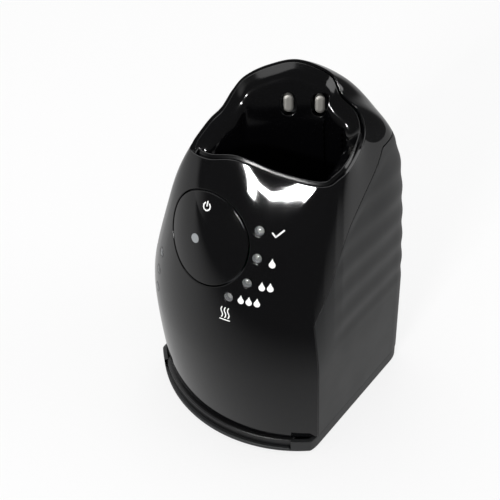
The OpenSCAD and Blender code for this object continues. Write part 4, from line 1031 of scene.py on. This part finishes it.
class StationRear(bpy.types.Operator):
    """Builds the lift button and the power socket of the rear shell"""

    bl_idname = "station.rear"
    bl_label = "Rear Fittings"

    def execute(self, context):
        back = np.array([0, 1.0, 0])
        face = REAR_D - LIFT_REST - 0.8
        cap = Solid()
        cap.sweep(rectangle(LIFT_W, LIFT_H, 1.7),
                  rounded([(-1.6, -3), (0, -3), (0, 0), (-1.1, 0), (-1.6, -0.35)], [0, 0, 0.5, 0.25, 0]),
                  on_plane((0, face, LIFT_Z), back))
        for h in (-3.4, 0, 3.4):
            cap.sweep(rectangle(17, 1.1, 0.5), rounded([(-0.4, -0.5), (0, -0.5), (0, -0.05), (-0.4, -0.05)], [0, 0, 0.25, 0]),
                      on_plane((0, face, LIFT_Z + h), back))
        cap.sweep(rectangle(7, 7, 0.5), rounded([(-0.4, -5.6), (0, -5.6), (0, -2.9), (-0.4, -2.9)], [0, 0.3, 0, 0]),
                  on_plane((0, face, LIFT_Z), back))
        cap.make("lift_button_cap", finish("base_abs"), "lift_button", ["lift_button"], "button_plastic")

        inlet = Solid()
        inlet.sweep(rectangle(SOCKET_W, SOCKET_H, 1.3), rounded(
            [(-3, -16.4), (0, -16.4), (0, -0.4), (-1.2, -0.4), (-1.2, -11), (-3, -11)], [0, 0.4, 0.35, 0.3, 0, 0]),
            on_plane((SOCKET_X, REAR_D, SOCKET_Z), back))
        inlet.make("socket_frame", finish("tpe"), "housing", ["power_socket"], "inner_plastic")
        return {"FINISHED"}


class StationSprings(bpy.types.Operator):
    """Winds the springs of the lift, the buttons and the contacts"""

    bl_idname = "station.springs"
    bl_label = "Springs"

    def execute(self, context):
        turns = context.scene.station_shape.spring_turns
        low, high = FLOOR_Z + 4, DECK_Z - 0.1
        for k, s in enumerate((-1, 1)):
            place = upright(s * COLUMN_AT[0], COLUMN_AT[1])
            ends = (0, 0.05, low * MM), (0, 0.05, high * MM)
            coil(COLUMN_R + 1.4, 0.55, low, high, turns, place).make(
                f"lift_coil_{k + 1}", finish("spring_wire"), None, ["lift_springs"] if not k else (),
                "spring_steel", ("base", "housing", *ends))
        wire = finish("spring_wire")
        coil(5.15, 0.4, 0, 6.5, 4, on_plane(BUTTON_P, BUTTON_N, -9.4)).make(
            "button_coil", wire, "housing", ["button_spring"], "spring_steel")
        back = np.array([0, 1.0, 0])
        coil(6.1, 0.45, 0, REAR_D - LIFT_REST - 4 - BRACKET_Y - 2.7, 2.6,
             on_plane((0, BRACKET_Y + 2.6, LIFT_Z), back)).make(
            "lift_button_coil", wire, "housing", ["lift_button_spring"], "spring_steel")
        for k, (side, contact) in enumerate(((-1, "left_contact"), (1, "right_contact"))):
            _, p = pin_spot(side)
            ends = [(p + h * FACE) * MM for h in (-7.8, -1.7)]
            coil(2.35, 0.3, 0, 6.1, 6, on_plane(p, FACE, -7.8)).make(
                f"contact_coil_{k + 1}", wire, None, ["contact_springs"] if not k else (),
                "spring_steel", ("housing", contact, *(end.tolist() for end in ends)))
        return {"FINISHED"}


INNER = {
    "zinc_steel": ["guide_columns", "column_screws", "small_screws", "chassis_screws", "pump_motor", "fan_motor"],
    "acetal": ["latch_hook", "button_guide", "pump_impeller"],
    "cartridge_pp": ["cartridge_lid"],
    "felt": ["cartridge_filter"],
    "nbr_seal": ["port_seals"],
    "stainless": ["drain_sieve"],
    "inner_abs": ["drain_spigot", "contact_block", "chassis", "pump_housing", "suction_spigot", "fan_housing",
                  "fan_wheel", "button_switch"],
    "led_epoxy": ["lamp_chips"],
    "solder_mask": ["control_board", "level_board"],
    "silicone_hose": ["delivery_hose"],
    "aluminium": ["heater"],
    "nickel": ["socket_pins"],
}


class StationInner(bpy.types.Operator):
    """Gives the parts inside the station their finishes"""

    bl_idname = "station.inner"
    bl_label = "Inner Parts"

    def execute(self, context):
        for name, nodes in INNER.items():
            for cad in nodes:
                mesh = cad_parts[cad].data
                mesh.materials.clear()
                mesh.materials.append(finish(name))
        return {"FINISHED"}


# ---------------------------------------------------------------- studio

AZIMUTH, ELEVATION, ROLL = math.radians(43), math.radians(40), math.radians(-3.4)
CAMERA_AT, TARGET = 0.542985, Vector((-0.034053, 0.020663, 0.067075))
LENS, SENSOR = 61.2, 36.0


def direction(azimuth, elevation):
    """Unit vector; azimuth 0 is +Y and 90 is +X."""
    a, e = math.radians(azimuth), math.radians(elevation)
    return Vector((math.sin(a) * math.cos(e), math.cos(a) * math.cos(e), math.sin(e)))


def light(name, at, towards, size, power, roll=0.0):
    data = bpy.data.lights.new(name, "AREA")
    data.shape, data.size, data.size_y, data.energy = "RECTANGLE", size[0], size[1], power
    lamp = bpy.data.objects.new(name, data)
    bpy.context.scene.collection.objects.link(lamp)
    lamp.rotation_mode = "QUATERNION"
    turn = (Vector(towards) - Vector(at)).to_track_quat("-Z", "Y")
    lamp.matrix_world = Matrix.Translation(at) @ turn.to_matrix().to_4x4() @ Matrix.Rotation(roll, 4, "Z")
    return lamp


def floor_finish(settings):
    """Pale floor: near white to the camera with part of its shading kept, and darker in reflections
    towards the viewer, as the room is."""
    m = bpy.data.materials.new("studio_floor")
    m.use_nodes = True
    tree = m.node_tree
    tree.nodes.clear()
    path = node(tree, "ShaderNodeLightPath")
    place = node(tree, "ShaderNodeTexCoord").outputs["Object"]
    diffuse = node(tree, "ShaderNodeBsdfDiffuse", Color=linear("#f2f2f2"))
    white = node(tree, "ShaderNodeEmission", Color=(settings.floor,) * 3 + (1,), Strength=1.0)
    seen = node(tree, "ShaderNodeMixShader", [(white.outputs[0], 1), (diffuse.outputs[0], 2)],
                Fac=settings.shadow)
    forward = direction(180 - 43, 0)
    ahead = node(tree, "ShaderNodeVectorMath", [(place, 0)], {"operation": "DOT_PRODUCT"})
    ahead.inputs[1].default_value = forward
    fade = node(tree, "ShaderNodeMapRange", [(ahead.outputs["Value"], "Value")],
                {"interpolation_type": "SMOOTHSTEP"}, From_Min=0.02, From_Max=0.30, To_Min=0.60, To_Max=0.10)
    dim = node(tree, "ShaderNodeEmission", [(fade.outputs["Result"], "Color")], Strength=1.0)
    glossy = node(tree, "ShaderNodeMixShader", [
        (path.outputs["Is Glossy Ray"], "Fac"), (diffuse.outputs[0], 1), (dim.outputs[0], 2)])
    both = node(tree, "ShaderNodeMixShader", [
        (path.outputs["Is Camera Ray"], "Fac"), (glossy.outputs[0], 1), (seen.outputs[0], 2)])
    node(tree, "ShaderNodeOutputMaterial", [(both.outputs[0], "Surface")])
    return m


def room_world():
    """White to the camera; in reflections bright behind and to the left, and dim towards the viewer."""
    world = bpy.data.worlds.new("room")
    bpy.context.scene.world = world
    world.use_nodes = True
    tree = world.node_tree
    tree.nodes.clear()
    path = node(tree, "ShaderNodeLightPath")
    place = node(tree, "ShaderNodeTexCoord").outputs["Generated"]
    bright_way = direction(-72, -6)
    facing = node(tree, "ShaderNodeVectorMath", [(place, 0)], {"operation": "DOT_PRODUCT"})
    facing.inputs[1].default_value = bright_way
    side = node(tree, "ShaderNodeMapRange", [(facing.outputs["Value"], "Value")],
                {"interpolation_type": "SMOOTHSTEP"}, From_Min=0.12, From_Max=0.55, To_Min=0.11, To_Max=0.78)
    dim = node(tree, "ShaderNodeBackground", [(side.outputs["Result"], "Color")], Strength=1.0)
    soft = node(tree, "ShaderNodeBackground", Color=(0.62, 0.62, 0.62, 1), Strength=1.0)
    white = node(tree, "ShaderNodeBackground", Color=(0.97, 0.97, 0.97, 1), Strength=1.0)
    glossy = node(tree, "ShaderNodeMixShader", [
        (path.outputs["Is Glossy Ray"], "Fac"), (soft.outputs[0], 1), (dim.outputs[0], 2)])
    seen = node(tree, "ShaderNodeMixShader", [
        (path.outputs["Is Camera Ray"], "Fac"), (glossy.outputs[0], 1), (white.outputs[0], 2)])
    node(tree, "ShaderNodeOutputWorld", [(seen.outputs[0], "Surface")])


def streak(name, first, last, width, power, distance=2.0):
    """A narrow ceiling lamp that spans two directions as seen from the front of the rim."""
    origin = Vector((0.02, -0.025, 0.168))
    a, b = origin + distance * direction(*first), origin + distance * direction(*last)
    middle = (a + b) / 2
    lamp = light(name, middle, origin, ((b - a).length, width), power)
    z = (middle - origin).normalized()
    x = (b - a).normalized()
    x = (x - z * x.dot(z)).normalized()
    y = z.cross(x)
    lamp.matrix_world = Matrix.Translation(middle) @ Matrix((x, y, z)).transposed().to_4x4()
    return lamp


class StationStudio(bpy.types.Operator):
    """Sets the floor, the room, the lamps and the camera"""

    bl_idname = "station.studio"
    bl_label = "Studio"

    def execute(self, context):
        settings = context.scene.station_stage
        mesh = bpy.data.meshes.new("studio_floor")
        mesh.from_pydata([(-4, -4, 0), (4, -4, 0), (4, 4, 0), (-4, 4, 0)], [], [(0, 1, 2, 3)])
        floor = bpy.data.objects.new("studio_floor", mesh)
        mesh.materials.append(floor_finish(settings))
        context.scene.collection.objects.link(floor)
        room_world()
        lamps = [
            streak("tube_upright", (173.5, 15.5), (170.5, 22.5), 0.075, 9.0),
            streak("tube_level", (170.0, 20.5), (161.0, 14.5), 0.075, 16.0),
            light("ceiling", (-0.5, 0.3, 1.5), (0, 0, 0.05), (1.4, 1.4), 9.0),
            light("right_wall", (1.3, 1.1, 0.7), (0.03, 0.03, 0.1), (1.2, 1.0), 10.0),
        ]
        data = bpy.data.cameras.new("camera")
        data.lens, data.sensor_width = LENS, SENSOR
        camera = bpy.data.objects.new("camera", data)
        context.scene.collection.objects.link(camera)
        level = Vector((-math.sin(AZIMUTH), math.cos(AZIMUTH), 0))
        ahead = level * math.cos(ELEVATION) - Vector((0, 0, math.sin(ELEVATION)))
        side = Vector((math.cos(AZIMUTH), math.sin(AZIMUTH), 0))
        up = level * math.sin(ELEVATION) + Vector((0, 0, math.cos(ELEVATION)))
        x = side * math.cos(ROLL) + up * math.sin(ROLL)
        y = up * math.cos(ROLL) - side * math.sin(ROLL)
        turn = Matrix((x, y, -ahead)).transposed().to_4x4()
        camera.matrix_world = Matrix.Translation(TARGET - CAMERA_AT * ahead) @ turn
        data.clip_start, data.clip_end = 0.01, 50
        context.scene.camera = camera
        context.scene.view_settings.view_transform = "Standard"
        return {"FINISHED"}


STEPS = [StationShells, StationCradle, StationContacts, StationButton, StationLamps, StationMarks, StationBase,
         StationCartridge, StationRear, StationSprings, StationInner, StationStudio]
GROUPS = {"station_shape": StationShape, "station_finish": StationFinish, "station_stage": StationStage}


class StationPanel(bpy.types.Panel):
    """Settings and steps of the cleaning station"""

    bl_idname = "VIEW3D_PT_station"
    bl_label = "Cleaning Station"
    bl_space_type = "VIEW_3D"
    bl_region_type = "UI"
    bl_category = "Station"

    def draw(self, context):
        for name in GROUPS:
            group = getattr(context.scene, name)
            box = self.layout.box()
            for key in group.__annotations__:
                box.prop(group, key)
        for step in STEPS:
            self.layout.operator(step.bl_idname)


def register():
    for cls in [*GROUPS.values(), *STEPS, StationPanel]:
        bpy.utils.register_class(cls)
    for name, group in GROUPS.items():
        setattr(bpy.types.Scene, name, PointerProperty(type=group))


def unregister():
    for name in GROUPS:
        delattr(bpy.types.Scene, name)
    for cls in reversed([*GROUPS.values(), *STEPS, StationPanel]):
        bpy.utils.unregister_class(cls)


def main():
    register()
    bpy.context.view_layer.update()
    bpy.ops.station.shells()
    bpy.ops.station.cradle()
    bpy.ops.station.contacts()
    bpy.ops.station.button()
    bpy.ops.station.lamps()
    bpy.ops.station.marks()
    bpy.ops.station.base()
    bpy.ops.station.cartridge()
    bpy.ops.station.rear()
    bpy.ops.station.springs()
    bpy.ops.station.inner()
    bpy.ops.station.studio()


if __name__ == "__main__":
    main()
